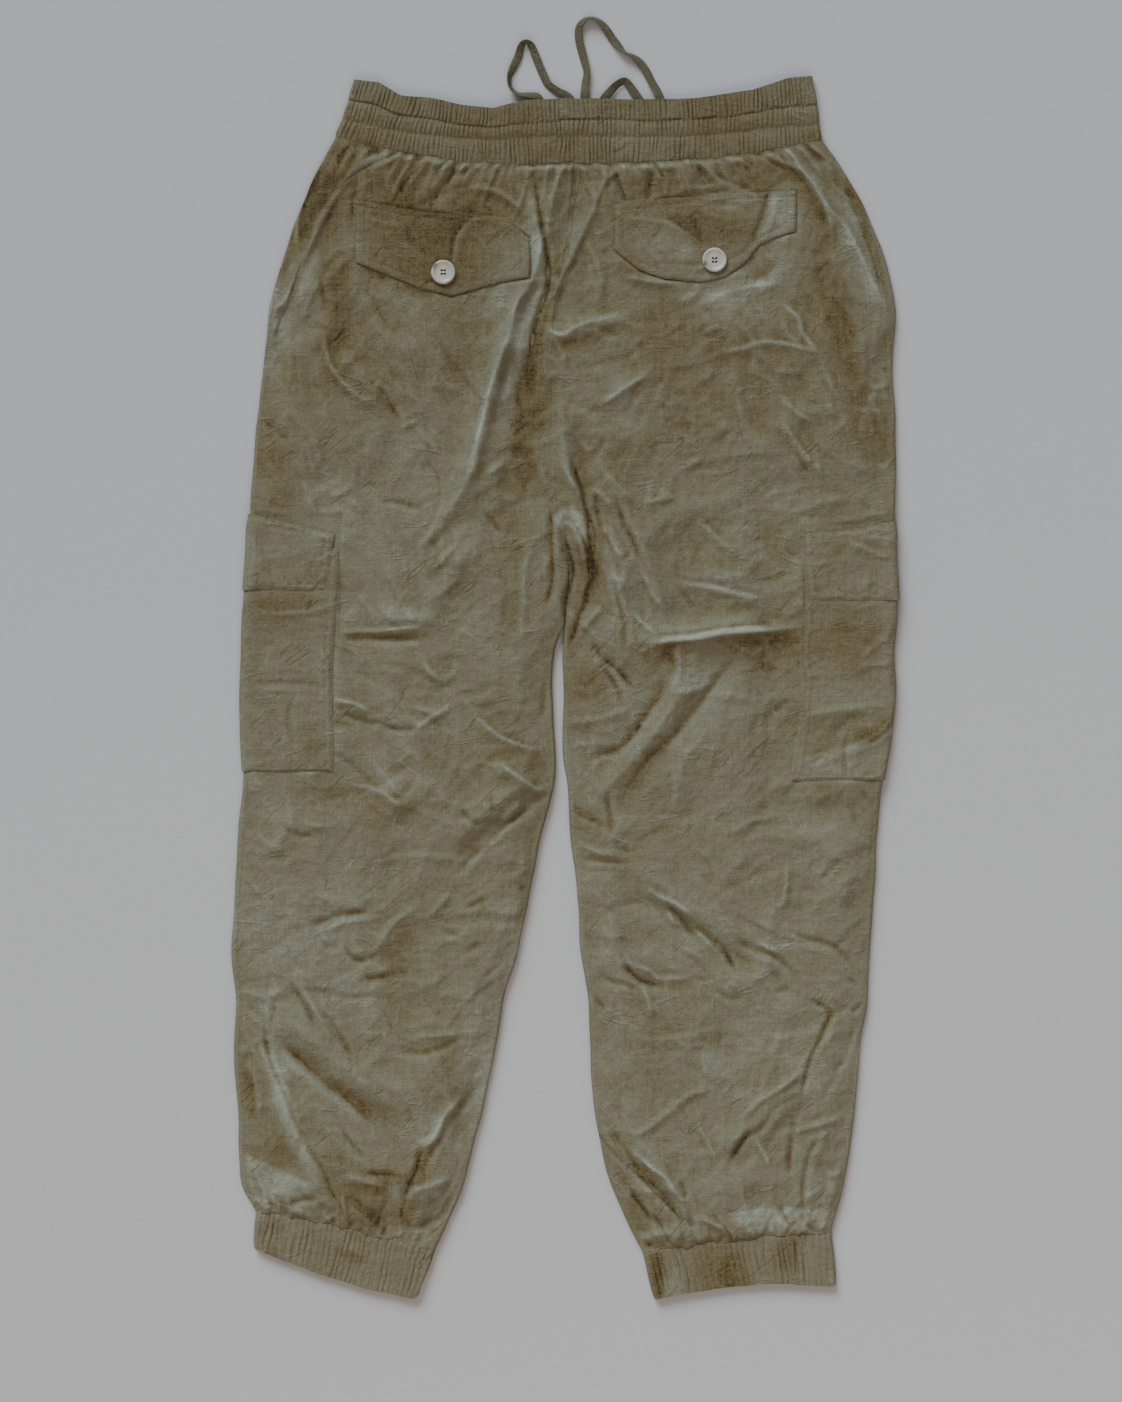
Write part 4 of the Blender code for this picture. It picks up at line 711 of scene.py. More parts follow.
# Strokes of painted shade, browner, or of painted light, greyer below zero, along folds: strength, how far
# each fades to the left and to the right of its run, and its points.
PaintedShadingStroke = namedtuple("PaintedShadingStroke", "strength left right points")
PAINTED_SHADING_STROKES = table(PaintedShadingStroke,
    # left hip and flap
    (-1.3, 5, 1.3, (-147, 430, -160, 424, -172, 411, -183, 396, -195, 380, -201, 363, -208, 350)),
    (-1.0, 15, 1.5, (-204, 357, -208, 350, -213, 334, -224, 314, -230, 300, -235, 275, -243, 247)),
    (1.0, 1.2, 17, (-147, 431, -160, 425, -173, 412, -184, 397, -196, 381)),
    (-0.9, 1.5, 1.5, (-207, 398, -215, 376, -215, 357)),
    (-1.0, 1.2, 2, (-216, 341, -224, 331)),
    (-1.2, 1.6, 1.6, (-207, 402, -214, 384, -216, 368, -216, 350)),
    (1.2, 4, 4, (-196, 420, -206, 400, -213, 384)),
    (1.0, 4, 4, (-222, 366, -228, 346, -235, 318)),
    (-1.0, 1.6, 1.6, (-228, 328, -236, 306, -240, 286)),
    (0.9, 4, 2, (-213, 330, -221, 318)),
    (-0.6, 1.2, 1.2, (-194, 285, -191, 269, -186, 256, -177, 244, -167, 236, -159, 230)),
    (0.9, 4, 4, (-170, 246, -157, 239, -144, 228, -134, 215)),
    (-0.9, 2, 12, (-158, 318, -144, 321, -128, 314, -112, 306)),
    (0.9, 0.8, 7, (-167, 341, -155, 335, -141, 327)),
    (-0.7, 1.5, 1.5, (-81, 403, -56, 399, -40, 388, -32, 379)),
    (-0.7, 2, 6, (-90, 340, -87, 358, -76, 373, -56, 377, -40, 370)),
    (0.8, 2, 2, (-92, 339, -90, 359, -79, 375)),
    # centre
    (-1.5, 1.0, 15, (-24, 405, -21, 376, -17, 355, -14, 328, -17, 314, -23, 299, -27, 281, -31, 265)),
    (-1.3, 1.0, 13, (-31, 268, -38, 250, -46, 236, -56, 226)),
    (-1.1, 5, 5, (-56, 250, -62, 231, -68, 204, -72, 186, -78, 167)),
    (1.8, 1.4, 1.4, (-25, 410, -21, 376, -16, 355, -14, 328, -17, 314, -23, 299, -27, 281, -31, 265)),
    (1.2, 12, 1.0, (-13, 350, -13, 328, -16, 313, -22, 298, -26, 280, -30, 264, -38, 237)),
    (0.7, 20, 1.0, (-41, 247, -40, 210, -43, 181)),
    (1.2, 1.0, 1.0, (11, 422, 11, 405, 6, 385, 4, 364, -4, 340)),
    (-0.9, 1.2, 1.4, (54, 422, 39, 413, 30, 402, 23, 383, 15, 367, 6, 345, -2, 324, -11, 305, -13, 287)),
    (-1.2, 5, 1.2, (-13, 286, 1, 281, 22, 288, 46, 299)),
    (0.9, 1.0, 9, (-8, 280, 2, 277, 22, 284, 40, 293)),
    (-0.9, 1.2, 1.2, (27, 226, 48, 240, 66, 253)),
    (-2.6, 8, 1.0, (-6, 130, -4, 137, 0, 139, 6, 136, 10, 129, 13, 120)),
    (0.9, 9, 1.0, (14, 118, 17, 101, 19, 90, 13, 68)),
    (0.8, 1.0, 9, (-10, 128, -10, 100, -12, 80)),
    (2.8, 1.3, 1.3, (-4, 127, -1, 124, 1, 116, 5, 103, 6, 97, 4, 87, 1, 77, 0, 65, -1, 49)),
    (1.5, 1.3, 1.3, (7, 136, 11, 129, 14, 118, 17, 101, 19, 91)),
    (2.1, 1.2, 1.2, (10, 167, 13, 153, 17, 137, 19, 124, 21, 110, 22, 100, 22, 91, 17, 80, 15, 67, 11, 59,
                     8, 47, 1, 33)),
    (1.6, 1.2, 1.2, (-12, 143, -11, 124, -11, 106, -10, 89, -14, 77, -17, 64)),
    (-0.9, 1.0, 8, (-13, 140, -12, 120, -12, 95, -14, 76)),
    (1.1, 3, 3, (37, 88, 44, 60, 46, 32)),
    # right hip and flap
    (-1.2, 9, 1.2, (173, 430, 185, 419, 193, 409, 201, 397, 208, 383, 213, 369, 215, 361)),
    (0.8, 1.2, 14, (172, 429, 184, 418, 192, 408, 200, 396, 207, 382, 212, 368)),
    (-1.3, 1.2, 18, (215, 404, 224, 395, 231, 381, 236, 366, 241, 354, 247, 334, 254, 312, 256, 305)),
    (1.1, 12, 1.2, (216, 405, 225, 396, 232, 382, 237, 367, 242, 355, 248, 335, 255, 313)),
    (0.5, 15, 15, (205, 348, 214, 317, 217, 286, 223, 256, 232, 225)),
    (-1.0, 1.2, 1.5, (195, 438, 204, 429, 213, 423, 224, 417)),
    (-0.9, 26, 1.0, (165, 399, 152, 357)),
    (1.1, 1.2, 3, (163, 399, 150, 357)),
    (0.5, 1.0, 22, (163, 399, 150, 357)),
    (-0.7, 1.4, 1.4, (167, 396, 155, 360)),
    (-0.9, 1.2, 26, (79, 376, 94, 365, 106, 351)),
    (0.8, 14, 1.2, (79, 377, 94, 366, 106, 352)),
    (-1.0, 9, 2, (128, 384, 142, 388, 156, 394)),
    (-1.3, 1.5, 13, (92, 318, 120, 315, 140, 319, 155, 326, 170, 338, 178, 349)),
    (0.9, 9, 1.2, (120, 317, 140, 321, 155, 328, 170, 340)),
    (-1.0, 1.2, 3, (175, 306, 185, 300, 190, 286, 201, 270)),
    (-0.9, 3, 1.2, (140, 271, 155, 276, 170, 276, 185, 274, 201, 270)),
    # right thigh and pocket
    (-2.4, 5.5, 1.2, (68, 36, 88, 38, 105, 40, 123, 43, 142, 45, 165, 47)),
    (1.0, 1.0, 20, (70, 36, 88, 37, 105, 39, 123, 42, 142, 44, 167, 46, 188, 48)),
    (1.0, 1.2, 1.0, (70, 43, 88, 44, 105, 46, 123, 49, 142, 51, 165, 52)),
    (-0.9, 4, 3, (92, 84, 117, 80, 133, 76, 156, 72)),
    (1.4, 12, 0.9, (191, -59, 206, -54, 222, -48, 236, -44, 248, -41, 258, -33, 265, -25)),
    (-1.4, 0.9, 6, (191, -60, 206, -55, 222, -49, 236, -45, 248, -42, 258, -34, 265, -26)),
    (0.8, 0.9, 5, (80, 6, 74, -8, 60, -27, 44, -47, 22, -55)),
    (0.6, 1.0, 11, (133, 24, 116, 0, 100, -21, 85, -39, 66, -56, 52, -75, 45, -88)),
    (-0.9, 1.2, 1.2, (54, 61, 64, 50, 75, 41)),
    (-0.7, 1.3, 1.3, (105, 94, 123, 89, 144, 87, 163, 86)),
    (-0.6, 1.1, 1.1, (82, -3, 105, 2, 120, 6)),
    (-0.8, 1.1, 1.1, (24, -58, 43, -49, 54, -40, 68, -22, 80, 2)),
    (-0.9, 1.2, 1.2, (3, -94, 18, -101, 32, -109)),
    # left thigh and knee
    (0.4, 3.4, 3.4, (-180, 43, -156, 42, -130, 41, -114, 41)),
    (-0.9, 1.2, 1.2, (-182, 49, -156, 49, -130, 49, -112, 50)),
    (-0.9, 1.2, 1.2, (-183, -8, -159, -16, -142, -27, -115, -34)),
    (-1.1, 1.2, 1.2, (-121, -32, -104, -20, -83, -7)),
    (-1.0, 1.3, 1.3, (-84, -5, -64, -28, -46, -41, -26, -48)),
    (-1.1, 1.4, 1.2, (-51, -60, -35, -74, -16, -82, -9, -77)),
    (-0.9, 1.3, 1.0, (-18, -84, -42, -105, -64, -130, -84, -145)),
    (-0.9, 1.3, 1.3, (-159, -52, -141, -74, -132, -85, -122, -82)),
    (-0.8, 1.4, 1.4, (-112, 21, -104, 10, -94, 5, -85, 12)),
    (-0.8, 1.5, 1.5, (-112, 100, -93, 127)),
    (-0.8, 1.3, 1.3, (-116, 70, -100, 88, -86, 96)),
    # lower right leg
    (-0.8, 1.3, 1.3, (61, -242, 68, -249, 74, -257)),
    (-0.7, 1.1, 1.1, (105, -337, 112, -352, 117, -368, 121, -381)),
    (-0.8, 1.2, 1.2, (152, -362, 160, -374, 165, -389)),
    (-0.6, 1.2, 1.2, (123, -281, 149, -289, 175, -290)),
    (1.2, 1.5, 1.5, (105, -191, 123, -209, 133, -218, 136, -226)),
    (0.6, 1.0, 6, (50, -222, 63, -233, 80, -237, 101, -231, 120, -229)),
    (1.1, 1.0, 1.0, (218, -251, 211, -271, 196, -293, 189, -326, 182, -359, 178, -392)),
    (0.6, 8, 4, (193, -308, 167, -330, 142, -359, 131, -381)),
    (1.3, 1.0, 1.0, (30, -345, 43, -370, 61, -392, 83, -414, 101, -430)),
    (-1.3, 9, 1.0, (58, -372, 72, -388, 88, -406)),
    (1.2, 1.0, 1.0, (39, -390, 54, -407, 69, -421, 83, -428)),
    (-1.2, 1.2, 13, (131, -421, 165, -416, 190, -417, 215, -419)),
    (-1.2, 8, 8, (90, -462, 88, -490)),
    (0.9, 14, 14, (136, -450, 136, -482)),
    (1.5, 1.2, 1.2, (184, -440, 184, -474)),
    (1.2, 1.2, 1.2, (190, -440, 191, -476)),
    (0.6, 1.2, 1.2, (74, -452, 76, -490)),
    (1.5, 1.4, 1.4, (17, -343, 34, -366, 52, -384, 66, -398, 84, -416, 96, -430)),
    (-0.8, 6, 1.0, (36, -374, 54, -392, 70, -408, 82, -420)),
    (1.5, 1.2, 1.2, (70, -420, 78, -432, 84, -444)),
    (1.5, 1.2, 1.2, (120, -424, 130, -434, 134, -444)),
    (1.3, 1.2, 1.2, (172, -412, 176, -424, 182, -432)),
    (1.3, 1.2, 1.2, (188, -392, 190, -412, 196, -426)),
    (1.0, 1.0, 12, (78, -452, 77, -490)),
    # lower left leg
    (-0.8, 5, 5, (-232, -232, -237, -254, -240, -276)),
    (-0.8, 1.3, 1.3, (-192, -342, -181, -355, -171, -367, -163, -375)),
    (-1.0, 1.3, 2.5, (-77, -328, -88, -341, -101, -353, -116, -364)),
    (-0.8, 1.2, 1.2, (-134, -276, -120, -282, -103, -281, -86, -278)),
    (-0.8, 1.3, 1.3, (-214, -240, -206, -253, -199, -266)),
    (1.3, 10, 0.9, (-228, -284, -213, -298, -196, -311, -181, -323, -167, -338, -154, -350)),
    (-0.7, 0.9, 10, (-228, -285, -213, -299, -196, -312, -181, -324, -167, -339, -154, -351)),
    (-1.1, 6, 9, (-240, -281, -235, -298, -230, -314, -223, -341, -216, -358, -204, -382)),
    (1.6, 1.4, 1.4, (-241, -262, -241, -280, -237, -296, -233, -306)),
    (-1.3, 1.0, 14, (-258, -373, -235, -382, -213, -392, -201, -395)),
    (0.9, 1.0, 9, (-252, -398, -235, -404, -215, -408)),
    (1.0, 14, 1.0, (-114, -368, -120, -388, -127, -405, -134, -429)),
    (-1.2, 1.0, 9, (-97, -341, -103, -360, -117, -367)),
    (1.0, 1.0, 11, (-152, -390, -138, -392, -122, -391)),
    (0.8, 7, 7, (-255, -292, -254, -318, -250, -345)),
    (-1.1, 14, 1.0, (-254, -409, -232, -412, -206, -420)),
    (1.1, 1.0, 16, (-187, -398, -166, -396, -146, -398)),
    (1.3, 1.2, 1.2, (-189, -400, -181, -412, -176, -424)),
    (1.0, 9, 1.0, (-176, -408, -158, -424, -146, -438)),
    (-1.1, 1.0, 14, (-140, -396, -118, -399, -98, -398)),
    (-1.0, 1.0, 10, (-144, -431, -122, -432, -108, -436)),
    (1.5, 1.2, 1.2, (-115, -369, -121, -388, -128, -405, -133, -424)),
    (0.9, 8, 8, (-236, -446, -234, -460)),
    (1.0, 5, 5, (-186, -448, -180, -452, -160, -458)),
)

# Which way the scattered crumples run, in degrees from X, near a few places.
Drift = namedtuple("Drift", "x y angle")
DRIFTS = table(Drift,
    (-190, 330, 60), (-100, 260, -45), (-50, 260, 72), (40, 300, 15), (60, 200, 40), (200, 250, -70),
    (-190, 120, -60), (-90, 110, 55), (60, 100, -70), (180, 80, 5), (-120, 0, -20), (-50, -90, 38),
    (100, -20, 50), (200, -60, 25), (-150, -180, 20), (100, -200, -35), (-190, -300, -42), (-90, -380, 65),
    (180, -380, 50), (60, -380, -50),
)

TiePoint = namedtuple("TiePoint", "x y height roll")
LEFT_TIE = table(TiePoint,
    (5, 447, 2.9, 0), (6, 458, 2.9, 0), (6, 467, 2.9, 0), (3, 474, 2.9, 0), (-6, 479, 2.6, 25),
    (-14, 485, 2.4, 30), (-18, 493, 1.7, 14), (-23, 505, 1.6, 10), (-27, 515, 2.4, 35), (-31, 519, 3.1, 72),
    (-35, 516, 2.5, 40), (-38, 507, 1.7, 14), (-42, 498, 2.1, 25), (-45, 490, 2.9, 58), (-44, 482, 3.1, 66),
    (-38, 477, 3.1, 60), (-29, 476, 2.9, 40), (-22, 474, 2.9, 8), (-19, 466, 2.9, 0), (-23, 456, 2.9, 0),
    (-33, 450, 2.9, 0), (-46, 448, 2.9, 0),
)
RIGHT_TIE = table(TiePoint,
    (16, 447, 2.9, 0), (16, 460, 2.9, 0), (15, 472, 2.9, 0), (16, 484, 2.2, 12), (17, 495, 2.5, 40),
    (14, 508, 1.9, 15), (11, 520, 1.7, 8), (11, 530, 2.0, 22), (15, 536, 2.7, 50), (20, 538, 3.1, 66),
    (26, 536, 2.8, 52), (32, 530, 1.9, 20), (38, 521, 1.4, 0), (43, 515, 2.1, 30), (48, 510, 3.1, 66),
    (54, 507, 2.7, 48), (60, 502, 1.8, 15), (65, 495, 1.5, 5), (69, 487, 1.8, 12), (74, 478, 2.6, 12),
    (77, 469, 2.9, 0), (74, 461, 2.9, 0), (66, 461, 2.9, 0), (61, 470, 2.9, 0), (54, 480, 2.2, 10),
    (48, 487, 2.4, 32), (42, 485, 2.6, 36), (35, 478, 2.7, 12), (29, 470, 2.9, 0), (26, 459, 2.9, 0),
    (32, 450, 2.9, 0),
)
TIE_WIDTH = 6.6
TIE_THICKNESS = 1.4
TIE_SIDES = 20
TIE_STEPS = 6             # rings of vertices to a point of its route


# ------------------------------------------------------------------ numbers
def mix(first, second, share):
    return first + (second - first) * share


def smooth(value):
    value = np.clip(value, 0.0, 1.0)
    return value * value * (3.0 - 2.0 * value)


def bell(value):
    """1 at zero, falling off to either side."""
    return np.exp(-value ** 2)


def through(values, places):
    """Smooth curve through a row of values, read at fractional places along it."""
    values = np.asarray(values, float)
    index = np.clip(np.floor(places).astype(int), 0, len(values) - 2)
    share = places - index
    before = values[np.maximum(index - 1, 0)]
    first, second = values[index], values[index + 1]
    after = values[np.minimum(index + 2, len(values) - 1)]
    square, cube = share ** 2, share ** 3
    return ((2 * cube - 3 * square + 1) * first + (cube - 2 * square + share) * (second - before) / 2
            + (3 * square - 2 * cube) * second + (cube - square) * (after - first) / 2)


def column(rows, name):
    return [getattr(row, name) for row in rows]


def read_at(rows, key, x, *names):
    """A table's named columns at x, read between its rows."""
    return [np.interp(x, column(rows, key), column(rows, name)) for name in names]


def above(height, least, soft=0.9):
    """A height that levels off softly towards the least one."""
    over = (height - least) / soft
    return least + soft * np.where(over > 20, over, np.log1p(np.exp(np.minimum(over, 20))))


LATTICE = 61              # cells after which the noise repeats
SHIFT_X, SHIFT_Y = 300.37, 300.71  # of its cells, off the garment's middle


def noise(x, y, size, seed):
    """Smooth gradient noise, about -1 to 1, with features of a given size."""
    lattice = np.random.default_rng(seed).uniform(0, math.tau, (LATTICE, LATTICE))
    u, v = np.asarray(x) / size + SHIFT_X, np.asarray(y) / size + SHIFT_Y
    i, j = np.floor(u).astype(int), np.floor(v).astype(int)
    s, t = u - i, v - j

    def corner(right, up):
        angle = lattice[(i + right) % LATTICE, (j + up) % LATTICE]
        return np.cos(angle) * (s - right) + np.sin(angle) * (t - up)
    lower = mix(corner(0, 0), corner(1, 0), smooth(s))
    upper = mix(corner(0, 1), corner(1, 1), smooth(s))
    return 1.5 * mix(lower, upper, smooth(t))


# ------------------------------------------------------------------ fields over the plan
STEP = 1.25               # size of a field's cells
WEST, SOUTH = -300.0, -520.0
CELLS_ACROSS, CELLS_UP = 481, 833
FIELD_X, FIELD_Y = np.meshgrid(WEST + STEP * np.arange(CELLS_ACROSS), SOUTH + STEP * np.arange(CELLS_UP))


def follow(points, reach):
    """Where a field's cells lie along a line of points: window, distance, side, distance run, share."""
    across_points, up_points = points[0::2], points[1::2]
    run = sum(math.hypot(across_points[i + 1] - across_points[i], up_points[i + 1] - up_points[i])
              for i in range(len(across_points) - 1))
    places = np.linspace(0, len(across_points) - 1, max(int(run / 6), 2) + 1)
    xs, ys = through(across_points, places), through(up_points, places)
    left, right = int((xs.min() - reach - WEST) / STEP), int((xs.max() + reach - WEST) / STEP) + 1
    low, high = int((ys.min() - reach - SOUTH) / STEP), int((ys.max() + reach - SOUTH) / STEP) + 1
    window = (slice(max(low, 0), max(high, 0)), slice(max(left, 0), max(right, 0)))
    x, y = FIELD_X[window], FIELD_Y[window]
    nearest = np.full(x.shape, 1e6)
    along, side = np.zeros(x.shape), np.ones(x.shape)
    done = 0.0
    for x1, y1, x2, y2 in zip(xs[:-1], ys[:-1], xs[1:], ys[1:]):
        run_x, run_y = x2 - x1, y2 - y1
        length = math.hypot(run_x, run_y) + 1e-9
        share = np.clip(((x - x1) * run_x + (y - y1) * run_y) / length ** 2, 0, 1)
        off_x, off_y = x - x1 - share * run_x, y - y1 - share * run_y
        gap = np.hypot(off_x, off_y)
        closer = gap < nearest
        nearest = np.where(closer, gap, nearest)
        along = np.where(closer, done + share * length, along)
        side = np.where(closer, np.sign(off_y * run_x - off_x * run_y), side)
        done += length
    return window, nearest, side, along, along / done


def press(field, row):
    """Add one crease to a field. It follows its points, tapers at its ends and has a narrow crest."""
    window, nearest, side, along, share = follow(row.points, 4.2 * row.width + 2)
    across = nearest * side / (0.72 * row.width)
    across = across * (1 + row.lean * np.tanh(across))
    taper = smooth((share + 0.1) / 0.34) * smooth((1.1 - share) / 0.34)
    uneven = 1 + 0.3 * noise(along, 40 * row.height, 34, int(abs(row.points[0]) + 3 * abs(row.points[1])))
    off = np.sqrt(across ** 2 + (0.8 / row.width) ** 2)
    facet = above(1.13 - off / 1.7, 0.0, 0.07)
    field[window] += row.height * taper * uneven * (0.62 * facet + 0.38 * np.exp(-1.7 * (off - 0.2)))


def paint_shading_stroke(field, row):
    """Add one stroke of painted shade or painted light to a field of painted shading, crisp on its narrow side."""
    window, nearest, side, along, share = follow(row.points, 1.3 * max(row.left, row.right) + 2)
    reach = np.where(side > 0, row.left, row.right) * (1 + 0.3 * noise(along, 20 * row.left, 19, 71))
    taper = smooth((share + 0.06) / 0.2) * smooth((1.06 - share) / 0.2)
    field[window] += 0.85 * row.strength * taper * smooth(1.5 * (1.05 - nearest / reach))


def sample(field, x, y):
    """Read a field at any places."""
    u = np.clip((np.asarray(x) - WEST) / STEP, 0, field.shape[1] - 1.001)
    v = np.clip((np.asarray(y) - SOUTH) / STEP, 0, field.shape[0] - 1.001)
    i, j = u.astype(int), v.astype(int)
    s, t = u - i, v - j
    return mix(mix(field[j, i], field[j, i + 1], s), mix(field[j + 1, i], field[j + 1, i + 1], s), t)


def softened(field, size):
    """A field blurred over a size in millimetres."""
    up = np.fft.fftfreq(field.shape[0])[:, None]
    across = np.fft.rfftfreq(field.shape[1])[None, :]
    keep = np.exp(-2 * (math.pi * size / STEP) ** 2 * (up ** 2 + across ** 2))
    return np.fft.irfft2(np.fft.rfft2(field) * keep, s=field.shape)


def drift_at(x, y):
    """Direction of the crumples, in degrees, between the named places."""
    total_x = total_y = 0.0
    for near in DRIFTS:
        weight = 1 / (30 + math.hypot(near.x - x, near.y - y)) ** 3
        total_x += weight * math.cos(2 * math.radians(near.angle))
        total_y += weight * math.sin(2 * math.radians(near.angle))
    return math.degrees(math.atan2(total_y, total_x)) / 2


CRUMPLED_X, CRUMPLED_Y = (-280, 280), (-460, 450)   # the stretch that the scattered crumples cover


def scattered_creases(seed, spacing, low, high, narrow, wide):
    """Crumples between the named creases, running with the drift of the cloth round about."""
    pick = random.Random(seed)
    rows = []
    for left in range(*CRUMPLED_X, spacing):
        for bottom in range(*CRUMPLED_Y, spacing):
            x = left + pick.uniform(0, spacing)
            y = bottom + pick.uniform(0, spacing)
            angle = math.radians(drift_at(x, y) + pick.gauss(0, 32))
            length = pick.uniform(0.6, 1.9) * spacing
            height = pick.uniform(low, high) * pick.choice((1, 1, -1))
            bow, turn = pick.gauss(0, 0.10) * length, pick.gauss(0, 0.05) * length
            away_x, away_y = math.cos(angle), math.sin(angle)
            points = []
            for share, off in ((-0.5, turn), (-0.15, bow), (0.2, bow - turn), (0.5, -turn)):
                points += [x + away_x * share * length - away_y * off,
                           y + away_y * share * length + away_x * off]
            rows.append(Crease(height, pick.uniform(narrow, wide), pick.uniform(-0.6, 0.6), points))
    return rows


def puckers(leg, place, count, inward, strength, seed, reaches=(10, 14, 18, 24, 34, 48)):
    """Short folds that run into the cloth from a gathered seam; inward is +1 up or -1 down the leg."""
    pick = random.Random(seed)
    seam = sections(leg, np.array([[float(place)]]))
    beyond = sections(leg, np.array([[place - 1.2 * inward]]))
    rows = []
    for index in range(count):
        share = (index + 0.5 + pick.uniform(-0.4, 0.4)) / count
        x1, y1 = (float(value[0, 0]) for value in plan_point(seam, share * width_of(seam)))
        x2, y2 = (float(value[0, 0]) for value in plan_point(beyond, share * width_of(beyond)))
        length = math.hypot(x2 - x1, y2 - y1)
        reach = pick.choice(reaches) * pick.uniform(0.8, 1.2) / length
        slant = pick.gauss(0, 5) + 0.25 * reach * length * x1 / 200 * (inward < 0)
        x2, y2 = mix(x1, x2, reach) + slant, mix(y1, y2, reach)
        middle_x, middle_y = (x1 + x2) / 2 + pick.gauss(0, 1.5), (y1 + y2) / 2
        height = pick.choice((1, 1, -1)) * strength * pick.uniform(0.4, 1.4)
        points = (2 * x1 - middle_x, 2 * y1 - middle_y, middle_x, middle_y, x2, y2)
        rows.append(Crease(height, pick.uniform(1.9, 3.2), pick.uniform(-0.4, 0.4), points))
    return rows


# ------------------------------------------------------------------ the flattened tube of a leg
def sections(leg, places):
    """A leg's cross-sections at fractional places in its table, as arrays of values."""
    values = {}
    for name in Section._fields:
        curve = through(column(leg, name), places)
        if name in ("inner_x", "inner_y", "rise", "curl"):
            straight = np.interp(places, range(len(leg)), column(leg, name))
            curve = np.where(places < CROTCH, straight, curve)
        values[name] = curve
    values["curl"] = np.clip(values["curl"], 0.0, 1.0)
    values["inset"] = np.maximum(values["inset"], RADIUS + SEAM_GAP)
    return Section(**values)


def even_places(leg, start, end, step):
    """Places along a leg that lie about a step apart on the cloth."""
    fine = np.linspace(start, end, 600)
    middle = (through(column(leg, "outer_y"), fine) + through(column(leg, "inner_y"), fine)) / 2
    run = np.concatenate([[0.0], np.cumsum(np.abs(np.diff(middle)))])
    return np.interp(np.linspace(0, run[-1], max(int(run[-1] / step), 2) + 1), run, fine)[:, None]


def width_of(section):
    return np.hypot(section.inner_x - section.outer_x, section.inner_y - section.outer_y)


def plan_point(section, distance):
    share = distance / width_of(section)
    x = mix(section.outer_x, section.inner_x, share)
    y = mix(section.outer_y, section.inner_y, share) + section.bow * 4 * share * (1 - share)
    return x, y


def main_folds(x, y):
    """The CAD model's folds, each with a crisper crest."""
    total = np.zeros_like(x)
    for fold in FOLDS:
        run_x, run_y = fold.x2 - fold.x1, fold.y2 - fold.y1
        length = math.hypot(run_x, run_y)
        share = ((x - fold.x1) * run_x + (y - fold.y1) * run_y) / length ** 2
        across = ((y - fold.y1) * run_x - (x - fold.x1) * run_y) / length
        across = (across - fold.bow * 4 * share * (1 - share)) / fold.width
        taper = smooth((share + 0.2) / 0.4) * smooth((1.2 - share) / 0.4)
        soft = np.exp(-np.minimum(across ** 2, 50))
        crisp = np.exp(-3.2 * (np.sqrt(across ** 2 + 0.05) - 0.2))
        share = RIDGE_SHARE if fold.height > 0 else GROOVE_SHARE
        total += share * fold.height * taper * (soft * (1 - CRISPNESS) + crisp * CRISPNESS)
    return total


LEVELLING = 18            # swells wider than this are halved in the fine relief


def levelled(field):
    return field - 0.5 * softened(field, LEVELLING)


def bent(reach, size_x, size_y, seed):
    """The field's coordinates, pushed about so that what is laid on them is uneven."""
    return (FIELD_X + reach * noise(FIELD_X, FIELD_Y, size_x, seed),
            FIELD_Y + reach * noise(FIELD_X, FIELD_Y, size_y, seed + 1))


def crumpled():
    """Everything on the panels that is finer than the main folds, as one field."""
    field = np.zeros_like(FIELD_X)
    rows = [
        *CREASES,
        *scattered_creases(6, 10, 0.06, 0.28, 1.7, 2.3),
        *scattered_creases(7, 15, 0.14, 0.5, 1.9, 2.8),
        *scattered_creases(8, 25, 0.2, 0.7, 2.4, 3.8),
        *scattered_creases(11, 44, 0.4, 1.2, 3.4, 6.0),
        *puckers(LEFT_LEG, 0, 34, -1, 1.5, 3),
        *puckers(RIGHT_LEG, 0, 36, -1, 1.5, 4),
        *puckers(LEFT_LEG, LAST, 26, 1, 1.0, 5),
        *puckers(RIGHT_LEG, LAST, 26, 1, 1.0, 6),
        *puckers(LEFT_LEG, 0, 46, -1, 1.5, 13, (5, 7, 9, 12)),
        *puckers(RIGHT_LEG, 0, 48, -1, 1.5, 14, (5, 7, 9, 12)),
        *puckers(LEFT_LEG, LAST, 30, 1, 1.3, 15, (4, 6, 9, 12)),
        *puckers(RIGHT_LEG, LAST, 32, 1, 1.3, 16, (4, 6, 9, 12)),
    ]
    for row in rows:
        press(field, row)
    bend_x, bend_y = bent(10, 60, 55, 1)
    field += 1.2 * noise(bend_x, bend_y, 75, 3)
    for size, depth, seed in ((85, 4.0, 5), (46, 2.0, 4), (24, 0.8, 6), (12, 0.4, 9)):
        field += depth * (0.35 - np.abs(noise(bend_x, bend_y, size, seed)))
    return 1.15 * levelled(field)


def overlaid():
    """The relief of the pockets and flaps."""
    field = np.zeros_like(FIELD_X)
    for row in [*OVERLAY_CREASES, *scattered_creases(21, 15, 0.15, 0.6, 1.6, 2.6)]:
        press(field, row)
    field += 0.6 * noise(FIELD_X, FIELD_Y, 26, 7) + 0.25 * noise(FIELD_X, FIELD_Y, 9, 8)
    return levelled(field)


def painted_shading_field():
    """Painted shading: painted shade, browner, above zero, and painted light, greyer, below."""
    field = np.zeros_like(FIELD_X)
    bend_x, bend_y = bent(9, 38, 34, 31)
    for painted_shading in PAINTED_SHADING_PATCHES:
        off = np.hypot((bend_x - painted_shading.x) / (painted_shading.across * 1.25), (bend_y - painted_shading.y) / (painted_shading.up * 1.25))
        field += 0.85 * painted_shading.strength * smooth(1.35 - off)
    field = np.clip(field, *PAINTED_PATCH_LIMITS)
    for stroke in PAINTED_SHADING_STROKES:
        paint_shading_stroke(field, stroke)
    return np.clip(field, *PAINTED_STROKE_LIMITS)


